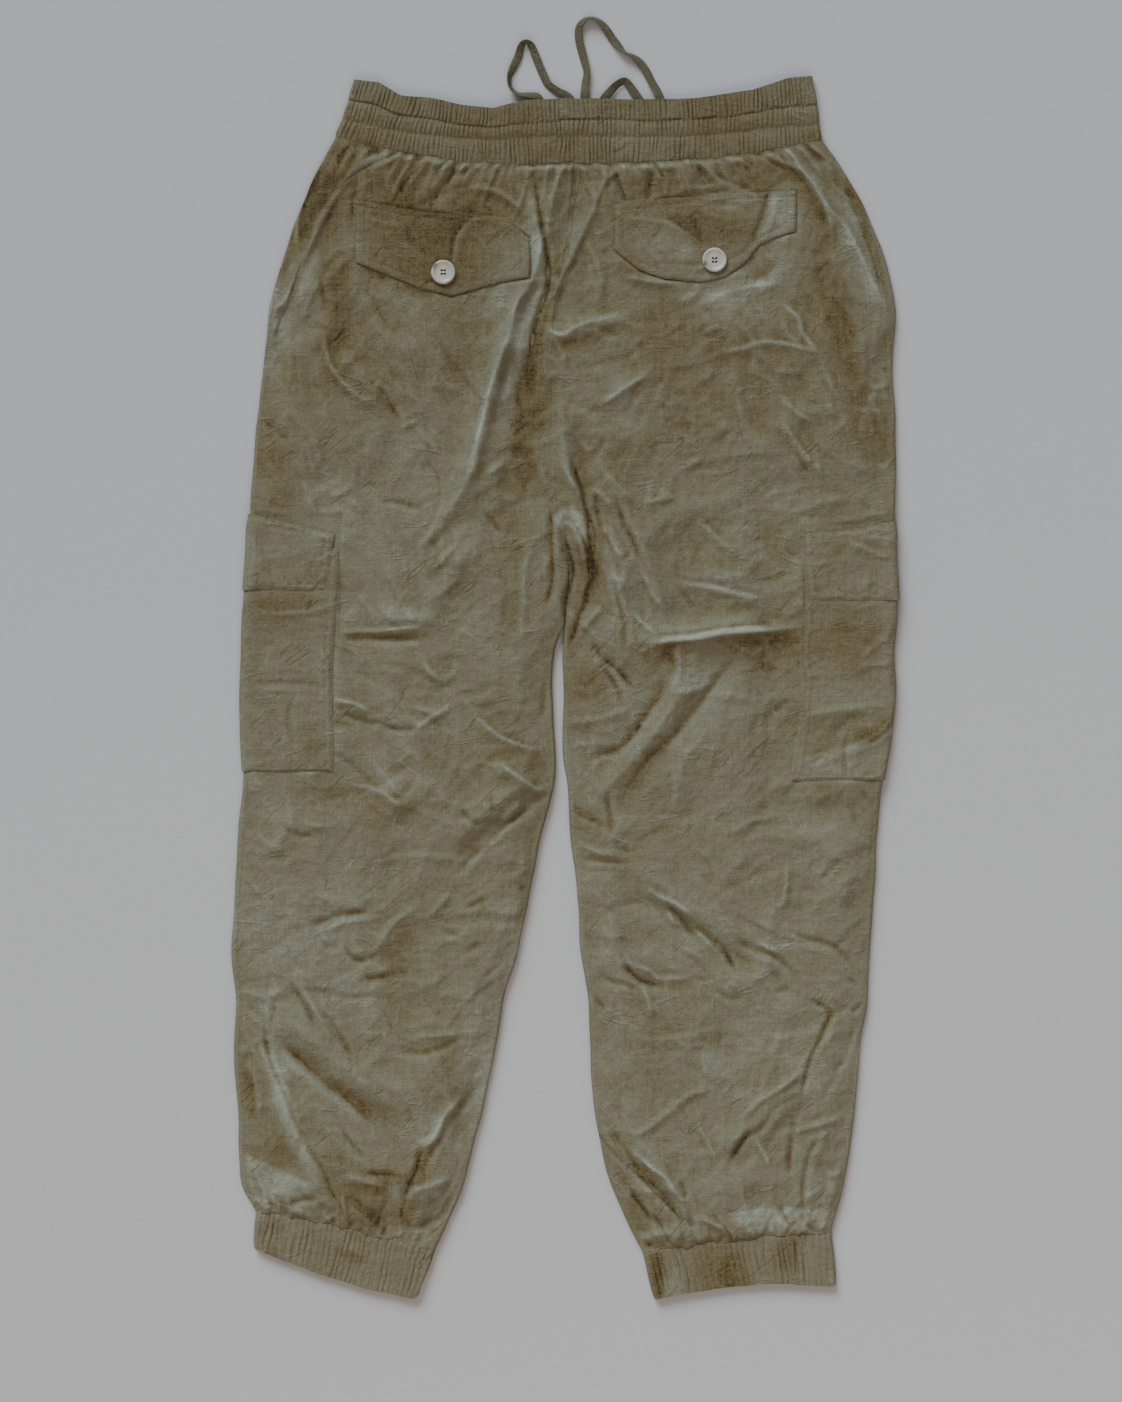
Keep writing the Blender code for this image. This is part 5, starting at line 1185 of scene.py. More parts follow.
# Seams that gathers pull out of line: points along each, and how far it swings.
GatheredSeam = namedtuple("GatheredSeam", "xs ys swing")
GATHERED_SEAMS = table(GatheredSeam,
    ((-184, 2, 205), (442, 421, 440), 2.0),
    ((-248, -105), (-419, -451), 2.2),
    ((62, 213), (-452, -436), 2.2),
)
CRUMPLES = crumpled()
OVERLAY = overlaid()
PAINTED_SHADING = painted_shading_field()


def calm_at(x, y):
    """How calm the ground is, from 0 to 1, and its swell, under flaps and pockets."""
    calm, rise = np.zeros_like(x), np.zeros_like(x)
    for zone in CALM_ZONES:
        off = np.maximum(np.maximum(zone.left - x, x - zone.right), np.maximum(zone.bottom - y, y - zone.top))
        share = 1.0 - smooth((off - CALM_MARGIN) / CALM_FADE)
        rise = np.where(share > calm, zone.rise, rise)
        calm = np.maximum(calm, share)
    return calm, rise


def lift_at(places, distance):
    """How far the leg is lifted by the half of the cargo pocket that lies under it."""
    full = np.interp(places, LIFT_PLACES, LIFT_HEIGHTS)
    return full * np.clip((LIFT_FAR - distance) / (LIFT_FAR - LIFT_NEAR), 0.0, 1.0)


def base_height(section, places, distance):
    """Height of the back's outer face with its main folds alone."""
    x, y = plan_point(section, distance)
    from_inner = width_of(section) - distance
    edge = smooth((distance - RADIUS) / EDGE_FADE)
    edge = edge * mix(1.0, smooth((from_inner - RADIUS) / EDGE_FADE), section.curl)
    calm, rise = calm_at(x, y)
    height = EDGE_HEIGHT + edge * mix(section.rise + main_folds(x, y), rise, calm)
    return above(height, LEAST_HEIGHT) + lift_at(places, distance)


def covered(cargo, flap, places, x, y, distance):
    """1 where a pocket or a flap lies on the cloth."""
    place = places + 0 * distance
    pocket = (smooth((place - cargo.seam_middle + 0.05) / 0.1)
              * smooth((cargo.pocket_end + 0.05 - place) / 0.1)
              * smooth((POCKET_REACH + 3 - distance) / 3))
    across = smooth((x - flap[0].x + 3) / 3) * smooth((flap[-1].x + 3 - x) / 3)
    top, bottom = read_at(flap, "x", x, "top", "bottom")
    under = across * smooth((y - bottom + 3) / 3) * smooth((top + 3 - y) / 3)
    return np.maximum(pocket, under)


def back_surface(cargo, flap, section, places, distance):
    """The back's outer face with all its creases."""
    x, y = plan_point(section, distance)
    from_inner = width_of(section) - distance
    fade = smooth((distance - 0.5) / FINE_FADE)
    fade = fade * mix(1.0, smooth((from_inner - 0.5) / FINE_FADE), section.curl)
    relief = sample(CRUMPLES, x, y) * fade * (1 - covered(cargo, flap, places, x, y, distance))
    seam = 0.25 * (1 - section.curl) * bell(from_inner / 1.3)
    seam = seam + 0.7 * smooth((section.inset - 7) / 4) * bell((distance - section.inset) / 1.5)
    pits = 0.1 + 0.8 * noise(x, y, 6, 65)
    height = base_height(section, places, distance) + relief
    for end, level in ((0, WAIST_SEAM_HEIGHT), (LAST, CUFF_SEAM_HEIGHT)):
        from_end = np.abs(places - end) * SECTION_PITCH
        height = mix(height, level + 0.28 * relief, bell(from_end / 4.5))
        seam = seam + pits * bell(from_end / 1.6)
    height = height - seam
    return above(height, LEAST_HEIGHT + lift_at(places, distance))


def stack(x, y, z):
    return np.stack(np.broadcast_arrays(x, y, z), axis=-1)


def back_strip(cargo, flap, section, places, distance):
    x, y = plan_point(section, distance)
    return stack(x, y, back_surface(cargo, flap, section, places, distance))


def outline_roll(section, places, angles, out=0.0):
    """Round the outline, from -90 degrees, below, to 90, above."""
    turn = np.radians(angles)[None, :]
    reach = RADIUS + out
    x, y = plan_point(section, RADIUS - reach * np.cos(turn))
    return stack(x, y, lift_at(places, 0.0 * turn) + RADIUS + reach * np.sin(turn))


def floor_relief(x, y):
    """Creases of the underside, which stands on the ground between them."""
    return np.clip(0.9 * noise(x, y, 48, 21) + 0.7 * sample(CRUMPLES, -x, y) - 0.2, 0.0, 1.8)


def floor_strip(section, places, distance):
    x, y = plan_point(section, distance)
    from_inner = width_of(section) - distance
    fade = smooth((distance - RADIUS) / 12) * smooth((from_inner - RADIUS) / 12)
    return stack(x, y, lift_at(places, distance) + floor_relief(x, y) * fade)


def inner_stretch(section):
    """Distances at which the last stretch towards the inner seam starts, starts to turn, and ends."""
    turn = section.curl * (math.pi / 2 - SEAM_GAP / 2 / RADIUS)
    flat = width_of(section) - SEAM_GAP / 2 - RADIUS * np.sin(turn)
    end = flat + RADIUS * turn
    return end - RADIUS * math.pi / 2, flat, end


def inner_roll(section, face, steps, back):
    """The last stretch towards the inner seam, rolled over where there is an inseam."""
    first, flat, end = inner_stretch(section)
    path = mix(first, end, np.linspace(0, 1, steps)[None, :])
    angle = np.maximum(path - flat, 0.0) / RADIUS
    start = np.minimum(path, flat)
    ground = face(start)[..., 2]
    x, y = plan_point(section, start + RADIUS * np.sin(angle))
    drop = RADIUS * (1 - np.cos(angle))
    return stack(x, y, ground - drop if back else ground + drop)


# ------------------------------------------------------------------ meshes
def blurred(values, turns, ring):
    for _ in range(turns):
        wide = np.pad(values, ((1, 1), (0, 0)), mode="edge")
        values = (wide[:-2] + values * 2 + wide[2:]) / 4
        wide = np.pad(values, ((0, 0), (1, 1)), mode="wrap" if ring else "edge")
        values = (wide[:, :-2] + values * 2 + wide[:, 2:]) / 4
    return values


def placed(name, data):
    made = bpy.data.objects.new(name, data)
    bpy.context.scene.collection.objects.link(made)
    return made


def add_mesh(name, vertices, faces, material):
    mesh = bpy.data.meshes.new(name)
    mesh.from_pydata([tuple(point) for point in vertices], [], faces)
    mesh.shade_smooth()
    mesh.materials.append(material)
    return placed(name, mesh)


def tube_faces(rings, sides, turned=False):
    """Faces of a tube of vertices, ring after ring, and one over each end."""
    faces = []
    for low in range((rings - 1) * sides):
        after = low + 1 if (low + 1) % sides else low + 1 - sides
        faces.append((low, low + sides, after + sides, after) if turned else
                     (low, after, after + sides, low + sides))
    ends = (tuple(range(sides))[::-1], tuple(range((rings - 1) * sides, rings * sides)))
    return faces + [end[::-1] if turned else end for end in ends]


def waver(points):
    """The small unevenness of every seam and edge, and the wavy lie of the gathered seams."""
    x, y = points[..., 0], points[..., 1]
    moved = np.array(points, float)
    moved[..., 0] += 0.9 * noise(x, y, 30, 61)
    moved[..., 1] += 0.9 * noise(x, y, 27, 62)
    for ends in GATHERED_SEAMS:
        seam_y = np.interp(x, ends.xs, ends.ys)
        near = (bell((y - seam_y) / 9) * smooth((x - ends.xs[0] + 20) / 20)
                * smooth((ends.xs[-1] + 20 - x) / 20))
        moved[..., 1] += near * (ends.swing * noise(x, y, 16, 63) + 0.5 * ends.swing * noise(x, y, 7, 64))
    return moved


def coarse_steps(count, ring):
    """Every so many places along a side of a grid, with the last one."""
    steps = list(range(0, count - 1 if not ring else count, COARSE))
    return steps + [count] if ring else steps + [count - 1]


def inner_faces(rows, columns, ring, offset):
    """Large faces on the inner side, which meet the small ones of the rim at its every vertex."""
    faces = []
    ups, alongs = coarse_steps(rows, False), coarse_steps(columns, ring)
    for low, high in zip(ups[:-1], ups[1:]):
        for left, right in zip(alongs[:-1], alongs[1:]):
            corners = [(low, k) for k in (range(left, right) if low == 0 else (left,))]
            edge = not ring and right == columns - 1
            corners += [(k, right) for k in (range(low, high) if edge else (low,))]
            corners += [(high, k) for k in (range(right, left, -1) if high == rows - 1 else (right,))]
            edge = not ring and left == 0
            corners += [(k, left) for k in (range(high, low, -1) if edge else (high,))]
            faces.append([offset + row * columns + at % columns for row, at in corners])
    return faces


def sink_of_inner(points, inward, ring):
    """How far the inner side's large faces sink to stay under the small outer ones."""
    sink = np.zeros(points.shape[:2])
    for up in (-COARSE, -COARSE // 2, 0, COARSE // 2, COARSE):
        for along in (-COARSE, -COARSE // 2, 0, COARSE // 2, COARSE):
            rows = np.clip(np.arange(points.shape[0]) + up, 0, points.shape[0] - 1)
            columns = np.arange(points.shape[1]) + along
            columns = columns % points.shape[1] if ring else np.clip(columns, 0, points.shape[1] - 1)
            step = points[rows][:, columns] - points
            sink = np.maximum(sink, (step * inward).sum(axis=-1))
    return sink[..., None]


def cloth(name, points, closed=False, turned=False, thickness=SHELL, fine=4, tint=0.0, crest_paint_contrast=1.0,
          painted_shade_limit=-30.0):
    """A closed cloth shell on a grid of points (rows, columns, xyz) in millimetres.

    Each vertex also holds its crest, how far it stands above the cloth round about in millimetres,
    which the material paints lighter, partly wear and partly painted highlight, and darker in crevices as
    painted shade; and its painted shading, browner painted shade above zero and greyer painted light below,
    with tint added, which makes the whole piece browner.
    """
    points = waver(points)
    rows, columns = points.shape[:2]
    down = np.gradient(points, axis=0)
    if closed:
        along = (np.roll(points, -1, 1) - np.roll(points, 1, 1)) / 2
    else:
        along = np.gradient(points, axis=1)
    inward = np.cross(along, down)
    inward = np.stack([blurred(inward[..., axis], 5, closed) for axis in range(3)], axis=-1)
    inward *= (-1 if turned else 1) / (np.linalg.norm(inward, axis=-1, keepdims=True) + 1e-9)
    under = points + inward * (thickness + sink_of_inner(points, inward, closed))
    vertices = np.concatenate([points.reshape(-1, 3), under.reshape(-1, 3)])
    count = rows * columns
    index = np.arange(count).reshape(rows, columns)
    if closed:
        index = np.concatenate([index, index[:, :1]], axis=1)
    outer = np.stack([index[:-1, :-1], index[1:, :-1], index[1:, 1:], index[:-1, 1:]], axis=-1).reshape(-1, 4)
    rims = [np.stack([line[:-1], line[1:], line[1:] + count, line[:-1] + count], axis=-1)
            for line in ((index[0], index[-1][::-1]) if closed else
                         (index[0], index[:, -1], index[-1][::-1], index[::-1, 0]))]
    faces = np.concatenate([outer, *rims]).tolist() + inner_faces(rows, columns, closed, count)
    if turned:
        faces = [face[::-1] for face in faces]
    used = sorted({corner for face in faces for corner in face})
    place = {corner: at for at, corner in enumerate(used)}
    faces = [[place[corner] for corner in face] for face in faces]
    piece = add_mesh(name, (vertices[used] * MM).tolist(), faces, CLOTH)
    piece.data.set_sharp_from_angle(angle=math.radians(55))
    height = points[..., 2]
    close = blurred(height, 2, closed)
    near = blurred(close, fine, closed)
    wide = blurred(near, fine * 10, closed)
    # How far each vertex stands above the cloth round about: painted lighter on crests, partly wear and partly painted
    # highlight, and darker in crevices, painted shade.
    crest = 3.0 * (height - close) + 1.2 * (close - near) + 0.25 * (near - wide)
    # Painted shading at each vertex: painted shade, browner, above zero and painted light, greyer, below, with the
    # piece's tint added.
    painted_shading = sample(PAINTED_SHADING, points[..., 0], points[..., 1]) + tint
    # Crevices are painted 1.4 times as strongly as crests and the piece's contrast scales both; the painted crevice
    # shade stops at the darkest painted shade and at the piece's own limit.
    least = np.minimum((PAINTED_SHADING_WEIGHT * painted_shading - DARKEST_PAINTED_SHADE) / CREST_PAINTED_SHADING, 0.0)
    crest = np.maximum(crest_paint_contrast * np.where(crest < 0, 1.4 * crest, crest), np.maximum(least, painted_shade_limit))
    for title, value in (("crest", crest), ("painted_shading", painted_shading)):
        attribute = piece.data.attributes.new(title, "FLOAT", "POINT")
        value = np.tile(value.reshape(-1), 2)[used]
        attribute.data.foreach_set("value", value.astype(np.float32))
    return piece


def back_panel(side, leg, cargo, flap, turned):
    places = even_places(leg, 0, LAST, CELL)
    section = sections(leg, places)

    def face(distance):
        return back_strip(cargo, flap, section, places, distance)
    start = section.inset + SEAM_GAP / 2
    count = int(np.median(width_of(section)) / CELL)
    distance = mix(start, inner_stretch(section)[0], np.linspace(0, 1, count)[None, :-1])
    points = np.concatenate([face(distance), inner_roll(section, face, 5, True)], axis=1)
    return cloth(f"back_panel_{side}", points, turned=turned)


def front_panel(side, leg, cargo, flap, turned):
    places = even_places(leg, 0, LAST, CELL * 1.3)
    section = sections(leg, places)

    def floor(distance):
        return floor_strip(section, places, distance)
    count = int(np.median(width_of(section)) / CELL / 1.8)
    flat = mix(inner_stretch(section)[0], RADIUS, np.linspace(0, 1, count)[None, 1:])
    strip = mix(RADIUS, section.inset - SEAM_GAP / 2, np.linspace(0, 1, 14)[None, 1:])
    points = np.concatenate([
        inner_roll(section, floor, 5, False)[:, ::-1],
        floor(flat),
        outline_roll(section, places, np.append(ROLL, 90)),
        back_strip(cargo, flap, section, places, strip),
    ], axis=1)
    return cloth(f"front_panel_{side}", points, turned=turned)


# ------------------------------------------------------------------ stitching
def stitches(name, lines, pitch=3.2, length=2.3, radius=0.27, sink=0.05):
    """Separate stitches along lines of points, joined into one piece."""
    angles = math.tau * np.arange(5) / 5
    stations = ((-0.5, 0.35), (-0.25, 1.0), (0.25, 1.0), (0.5, 0.35))
    tube = tube_faces(len(stations), len(angles))
    vertices, faces = [], []
    for line in lines:
        line = waver(np.asarray(line, float))
        run = np.concatenate([[0.0], np.cumsum(np.linalg.norm(np.diff(line, axis=0), axis=1))])
        for middle in np.arange(pitch / 2, run[-1] - length / 2, pitch):
            ends = [np.array([np.interp(middle + shift, run, line[:, axis]) for axis in range(3)])
                    for shift in (-length / 2, length / 2)]
            centre, along = (ends[0] + ends[1]) / 2, ends[1] - ends[0]
            along /= np.linalg.norm(along) + 1e-9
            across = np.cross((0.0, 0.0, 1.0), along)
            across /= np.linalg.norm(across) + 1e-9
            up = np.cross(along, across)
            first = len(vertices)
            for station, size in stations:
                for angle in angles:
                    vertices.append((centre + along * station * length + (across * math.cos(angle)
                                     + up * (math.sin(angle) * 0.8)) * radius * size - up * sink) * MM)
            faces += [tuple(first + corner for corner in face) for face in tube]
    return add_mesh(name, vertices, faces, THREAD)


def seam_lines(leg, cargo, flap):
    """Stitching beside the seat seam, down to the crotch, and beside the side seam."""
    def line(last, count, distance):
        places = np.linspace(0.05, last, count)
        section = sections(leg, places)
        return back_strip(cargo, flap, section, places, distance(section))
    return [line(CROTCH, 400, lambda section: width_of(section) - 3.0),
            line(3.6, 200, lambda section: section.inset + 3.0)]


# ------------------------------------------------------------------ gathered bands
def gathers(along, up, count, run, seed):
    """Uneven gathers: how far the cloth stands out. Up runs from seam to free edge, in millimetres."""
    phase = (along * count / run + 0.55 * noise(along, up * 0.4, 22, seed)
             + 0.3 * noise(along, up * 0.5, 9, seed + 1))
    off = phase - np.round(phase)
    strength = np.clip(0.6 + 0.8 * noise(along, up * 0.6, 11, seed + 2), 0.1, 1.2)
    groove = bell(off / 0.2) * strength
    second = 0.16 * np.cos(math.tau * (phase * 2.3 + 0.4 * noise(along, up * 0.5, 15, seed + 3)))
    return 1 - groove + second


def on_sides(out, waves, puff, angle):
    """How far a band's cloth stands out: as given above, only its grooves below, fading between."""
    out = np.where(angle == -90, -np.clip(0.8 - waves, 0, 0.8) * puff, out)
    return np.where((angle < 90) & (angle > -90), out * smooth((angle + 90) / 120), out)


def band_points(seam, free, distance, shares, angle, side, stand_out):
    """Grid of a band: seam and free are functions from distance to (x, y); angle faces outward."""
    turn = np.radians(angle)
    reach = RADIUS + stand_out
    spread = distance + reach * np.cos(turn) * side
    seam_x, seam_y = seam(spread)
    free_x, free_y = free(spread)
    return stack(mix(seam_x, free_x, shares), mix(seam_y, free_y, shares), RADIUS + reach * np.sin(turn))


def waist_lines(leg):
    section = sections(leg, np.array([[0.0]]))

    def seam(distance):
        x, y = plan_point(section, distance)
        return x, y + SEAM_GAP

    def free(distance):
        return read_at(WAIST_EDGE, "seam_x", seam(distance)[0], "top_x", "top_y")
    return float(width_of(section)[0, 0]), seam, free


def waist_rows(seam_x):
    return read_at(WAIST_STITCHES, "seam_x", seam_x, "lower", "upper")


def waist_part(leg, distance, angle, side, shares):
    """Part of the waistband's outer face: three puffed channels of fine gathers."""
    seam, free = waist_lines(leg)[1:]
    seam_x = seam(distance)[0]
    lower, upper = waist_rows(seam_x)
    height = shares + 0 * seam_x
    row = np.where(height < upper, (height - lower) / (upper - lower), (height - upper) / (1 - upper))
    row = np.clip(np.where(height < lower, height / lower, row), 0, 1)
    row = np.where(height < lower, 0.1 + 0.9 * row, row)
    edge_puff = np.sin(np.pi / 2 * np.clip(1.25 - np.abs(row * 1.25 - 0.6), 0, 1)) ** 0.5
    puff = np.where(height > upper, edge_puff, np.sin(np.pi * row) ** 0.6)
    channel = np.where(height < lower, 0, np.where(height < upper, 40, 80))
    along = seam_x + RADIUS * np.radians(90 - angle) * (side != 0)
    waves = gathers(along, height * 42 + channel, WAIST_GATHERS * 1.25, WAIST_WIDTH, 31)
    out = puff * 0.8 + waves * (0.5 + 0.7 * puff) - 0.7 - 1.4 * smooth(-height / 0.04)
    return band_points(seam, free, distance, shares, angle, side, on_sides(out, waves, puff, angle))


def waistband():
    shares = np.linspace(-0.05, 1, 46)[:, None]
    parts = []
    for leg, flip in ((LEFT_LEG, False), (RIGHT_LEG, True)):
        width = waist_lines(leg)[0]
        flat = np.linspace(RADIUS, width, WAIST_COLUMNS)[None, :]
        roll = ROLL[None, ::-1]
        floor = np.linspace(RADIUS, width, 90)[None, :]
        grid = np.concatenate([
            waist_part(leg, flat[:, ::-1], np.full(flat.shape, 90.0), 0, shares),
            waist_part(leg, np.full(roll.shape, RADIUS), roll, -1, shares),
            waist_part(leg, floor, np.full(floor.shape, -90.0), 0, shares),
        ], axis=1)
        parts.append(grid[:, ::-1] if flip else grid)
    return cloth("waistband_gathered", np.concatenate(parts, axis=1), closed=True,
                 thickness=BAND_SHELL, fine=3, tint=0.25, painted_shade_limit=-3.2)


def waist_stitch_lines():
    lines = []
    for leg in (LEFT_LEG, RIGHT_LEG):
        width, seam = waist_lines(leg)[:2]
        distance = np.linspace(RADIUS, width, 420)[None, :]
        for shares in waist_rows(seam(distance)[0]):
            lines.append(waist_part(leg, distance, np.full(distance.shape, 90.0), 0, shares)[0])
    return lines


def cuff(side, leg, edge, turned, seed):
    """A cuff, gathered on elastic, with a folded free edge."""
    section = sections(leg, np.array([[float(LAST)]]))
    width = float(width_of(section)[0, 0])

    def seam(distance):
        x, y = plan_point(section, distance)
        return x, y - SEAM_GAP

    def free(distance):
        share = distance / width
        corner = 0.0
        for size, off in ((edge.outer_round, distance), (edge.inner_round, width - distance)):
            near = np.clip(1 - off / size, 0.0, 1.0)
            corner = corner + size * (1 - np.sqrt(1 - near ** 2))
        return (mix(edge.outer_x, edge.inner_x, share),
                mix(edge.outer_y, edge.inner_y, share) + edge.bow * 4 * share * (1 - share) + corner)
    shares = np.linspace(-0.06, 1, 27)[:, None]
    far = width - RADIUS
    pieces = []
    for distance, angle, way in (
            (np.linspace(RADIUS, far, CUFF_COLUMNS), 90.0, 0),
            (far, ROLL[::-1], 1),
            (np.linspace(far, RADIUS, 70), -90.0, 0),
            (RADIUS, ROLL, -1)):
        distance, angle = np.broadcast_arrays(np.atleast_1d(distance)[None, :], np.atleast_1d(angle)[None, :])
        puff = np.sin(np.pi * np.clip(shares * 0.86 + 0.07, 0, 1)) ** 0.5
        waves = gathers(distance + 0 * shares, shares * 30, CUFF_GATHERS, width, seed)
        out = puff * 0.5 + waves * (0.5 + 0.5 * puff) - 0.6 - 1.4 * smooth(-shares / 0.05)
        out = on_sides(out, waves, puff, angle)
        pieces.append(band_points(seam, free, distance, shares, angle, way, out))
    return cloth(f"cuff_gathered_{side}", np.concatenate(pieces, axis=1), closed=True, turned=turned,
                 thickness=BAND_SHELL, fine=3, tint=0.1, painted_shade_limit=-3.2)


# ------------------------------------------------------------------ cargo pockets and their flaps
# A piece that wraps round the outline. Places at the outline and at its far end, reach from the outline,
# and stand-off from the leg's cloth, each at the top and at the bottom.
Wrap = namedtuple("Wrap", "leg middle_top middle_bottom end_top end_bottom "
                          "reach_top reach_bottom out_top out_bottom")


def leg_length(leg, first, second):
    """Length of a leg's outline between two places."""
    outer_y = column(leg, "outer_y")
    return abs(float(through(outer_y, np.array(second)) - through(outer_y, np.array(first))))


def wrap_length(wrap):
    return leg_length(wrap.leg, wrap.middle_top, wrap.middle_bottom)


def wrap_out(wrap, down):
    """How far a wrapped piece stands off the leg's cloth."""
    return mix(wrap.out_top, wrap.out_bottom, smooth(down * wrap_length(wrap) / 10))


def hem_relief(border, width, rise, groove, narrow):
    """A hem's doubled cloth, and the stitched groove along it."""
    return rise * smooth((width + 1.5 - border) / 1.5) - groove * bell((border - width) / narrow)


def wrap_place(wrap, down, share):
    reach = mix(wrap.reach_top, wrap.reach_bottom, down)
    distance = mix(RADIUS, reach, share)
    place = mix(mix(wrap.middle_top, wrap.middle_bottom, down), mix(wrap.end_top, wrap.end_bottom, down),
                distance / reach)
    return place, distance, reach


def wrap_top(wrap, down, share):
    """The piece's outer face on the back: down from its top to its bottom, share from the outline."""
    place, distance, reach = wrap_place(wrap, down, share)
    section = sections(wrap.leg, place)
    x, y = plan_point(section, distance)
    length = wrap_length(wrap)
    from_top, from_side, from_bottom = down * length, reach - distance, (1 - down) * length
    border = np.minimum(np.minimum(from_side, from_bottom), from_top)
    out = wrap_out(wrap, down) * mix(1.0, 0.62, smooth((distance - 4) / 12))
    relief = (sample(OVERLAY, x, y) + 0.5 * sample(CRUMPLES, x, y)) * mix(0.35, 1.0, smooth(border / 8))
    lively = 0.9
    if wrap.out_top == wrap.out_bottom:      # the pocket, whose top lies under its flap
        relief = relief * smooth((from_top - 30) / 10)
        lively = 0.4
    hem = hem_relief(border, 6.0, 0.3, 0.45, 0.9)
    hem = hem + lively * noise(x, y, 4.5, 41) * bell((border - 5) / 4)
    edge = -1.0 * bell(border / 2.2)
    swell = np.maximum(0.35 + relief + hem, -0.1) * smooth(distance / 6)
    return stack(x, y, base_height(section, place, distance) + out + swell + edge)


def wrap_grid(wrap, rows, columns):
    down = np.linspace(0, 1, rows)[:, None]
    share = np.linspace(0, 1, columns)[None, :]
    middle = mix(wrap.middle_top, wrap.middle_bottom, down)
    out = wrap_out(wrap, down)
    place, distance = wrap_place(wrap, down, share[:, ::-3])[:2]
    x, y = plan_point(sections(wrap.leg, place), distance)
    under = stack(x, y, lift_at(place, distance) - out)
    roll = outline_roll(sections(wrap.leg, middle), middle, ROLL, out)
    return np.concatenate([under, roll, wrap_top(wrap, down, share)], axis=1)


def cargo_wraps(leg, cargo):
    below = POCKET_BELOW_FLAP / leg_length(leg, cargo.seam_middle - 0.5, cargo.seam_middle + 0.5)
    start = cargo.seam_end + below
    pocket = Wrap(leg, start, cargo.pocket_end, start, cargo.pocket_end, POCKET_REACH, POCKET_REACH, 1.5, 1.5)
    flap = Wrap(leg, cargo.seam_middle, cargo.flap_end, cargo.seam_end, cargo.flap_end,
                cargo.seam_reach, cargo.flap_reach, 1.5, 3.0)
    return pocket, flap


def wrap_line(wrap, start, end, steps=60):
    """A line on a wrapped piece between two spots, each (mm from the top or, negative, the bottom;
    mm in from the side, or None at the outline)."""
    length = wrap_length(wrap)
    reach = mix(wrap.reach_top, wrap.reach_bottom, 0.5)
    spots = []
    for down, side in (start, end):
        down = down / length if down >= 0 else 1 + down / length
        spots.append((down, 0.0 if side is None else 1 - side / (reach - RADIUS)))
    share = np.linspace(0, 1, steps)
    return wrap_top(wrap, mix(spots[0][0], spots[1][0], share), mix(spots[0][1], spots[1][1], share))


def cargo_lines(pocket, flap):
    """Stitching of a cargo pocket and its flap: a double row at the flap's seam and at the pocket's
    edges, and one row along the flap's."""
    lines = [wrap_line(flap, (off, None), (off, 2)) for off in (1.8, 7.0)]
    lines += [wrap_line(flap, (8, 6), (-6, 6)), wrap_line(flap, (-6, 6), (-6, None))]
    for off in (1.8, 6.0):
        lines.append(wrap_line(pocket, (36, off), (-off, off), 160))
        lines.append(wrap_line(pocket, (-off, off), (-off, None)))
    return lines


# ------------------------------------------------------------------ back flaps
def flap_top(stations, rise, x, down):
    """Outer face of a back flap at x, down from its seam to its free edge."""
    xs = column(stations, "x")
    top, bottom = read_at(stations, "x", x, "top", "bottom")
    y = mix(top, bottom, down)
    across = np.interp(x, xs, np.linspace(0, 1, len(xs)))
    belly = 0.8 * 16 * down * (1 - down) * across * (1 - across)
    border = np.minimum(np.minimum(x - xs[0], xs[-1] - x), (1 - down) * (top - bottom))
    relief = sample(OVERLAY, x, y) * mix(0.35, 1.0, smooth(border / 8))
    hem = hem_relief(border, 7.0, 0.25, 0.4, 1.0)
    hem = hem + 0.3 * noise(x, y, 5, 43) * bell((border - 5) / 4)
    seam = -0.5 * bell(((top - y) - 5.0) / 1.2) - 0.7 * bell((top - y) / 1.5)
    edge = -0.8 * bell(border / 0.9)
    swell = np.maximum(0.4 + relief + hem + seam, -0.15)
    return stack(x, y, EDGE_HEIGHT + rise + SEAM_GAP + LAYER + belly + swell + edge)


def back_flap(side, stations, rise):
    x = np.linspace(stations[0].x, stations[-1].x, 100)[None, :]
    down = np.linspace(0, 1, 44)[:, None]
    points = flap_top(stations, rise, x, down)
    return cloth(f"back_flap_cloth_{side}", points, thickness=DOUBLED, fine=4, tint=0.15)


def flap_lines(stations, rise):
    """Stitching of a back flap: a double row at its seam and one along its free edges."""
    left, right = stations[0].x, stations[-1].x
    x = np.linspace(left + 7, right - 7, 160)
    top, bottom = read_at(stations, "x", x, "top", "bottom")
    depth = top - bottom
    lines = [flap_top(stations, rise, x, 1 - 7 / depth)]
    lines += [flap_top(stations, rise, x, off / depth) for off in (2.0, 7.5)]
    for end in (left + 7, right - 7):
        down = np.linspace(0.12, 1 - 7 / np.interp(end, x, depth), 30)
        lines.append(flap_top(stations, rise, end + 0 * down, down))
    return lines


# ------------------------------------------------------------------ buttons
def drill(disc, spot):
    """A round hole through a button."""
    bm = bmesh.new()
    bmesh.ops.create_cone(bm, cap_ends=True, segments=24, radius1=HOLE_RADIUS * MM,
                          radius2=HOLE_RADIUS * MM, depth=12 * MM)
    bmesh.ops.translate(bm, vec=Vector(spot) * MM, verts=bm.verts)
    data = bpy.data.meshes.new("hole")
    bm.to_mesh(data)
    bm.free()
    cutter = placed("hole", data)
    cut = disc.modifiers.new("hole", "BOOLEAN")
    cut.operation = "DIFFERENCE"
    cut.solver = "EXACT"
    cut.object = cutter
    bpy.context.view_layer.update()
    shaped = bpy.data.meshes.new_from_object(disc.evaluated_get(bpy.context.evaluated_depsgraph_get()))
    disc.modifiers.clear()
    disc.data = shaped
    bpy.data.objects.remove(cutter, do_unlink=True)


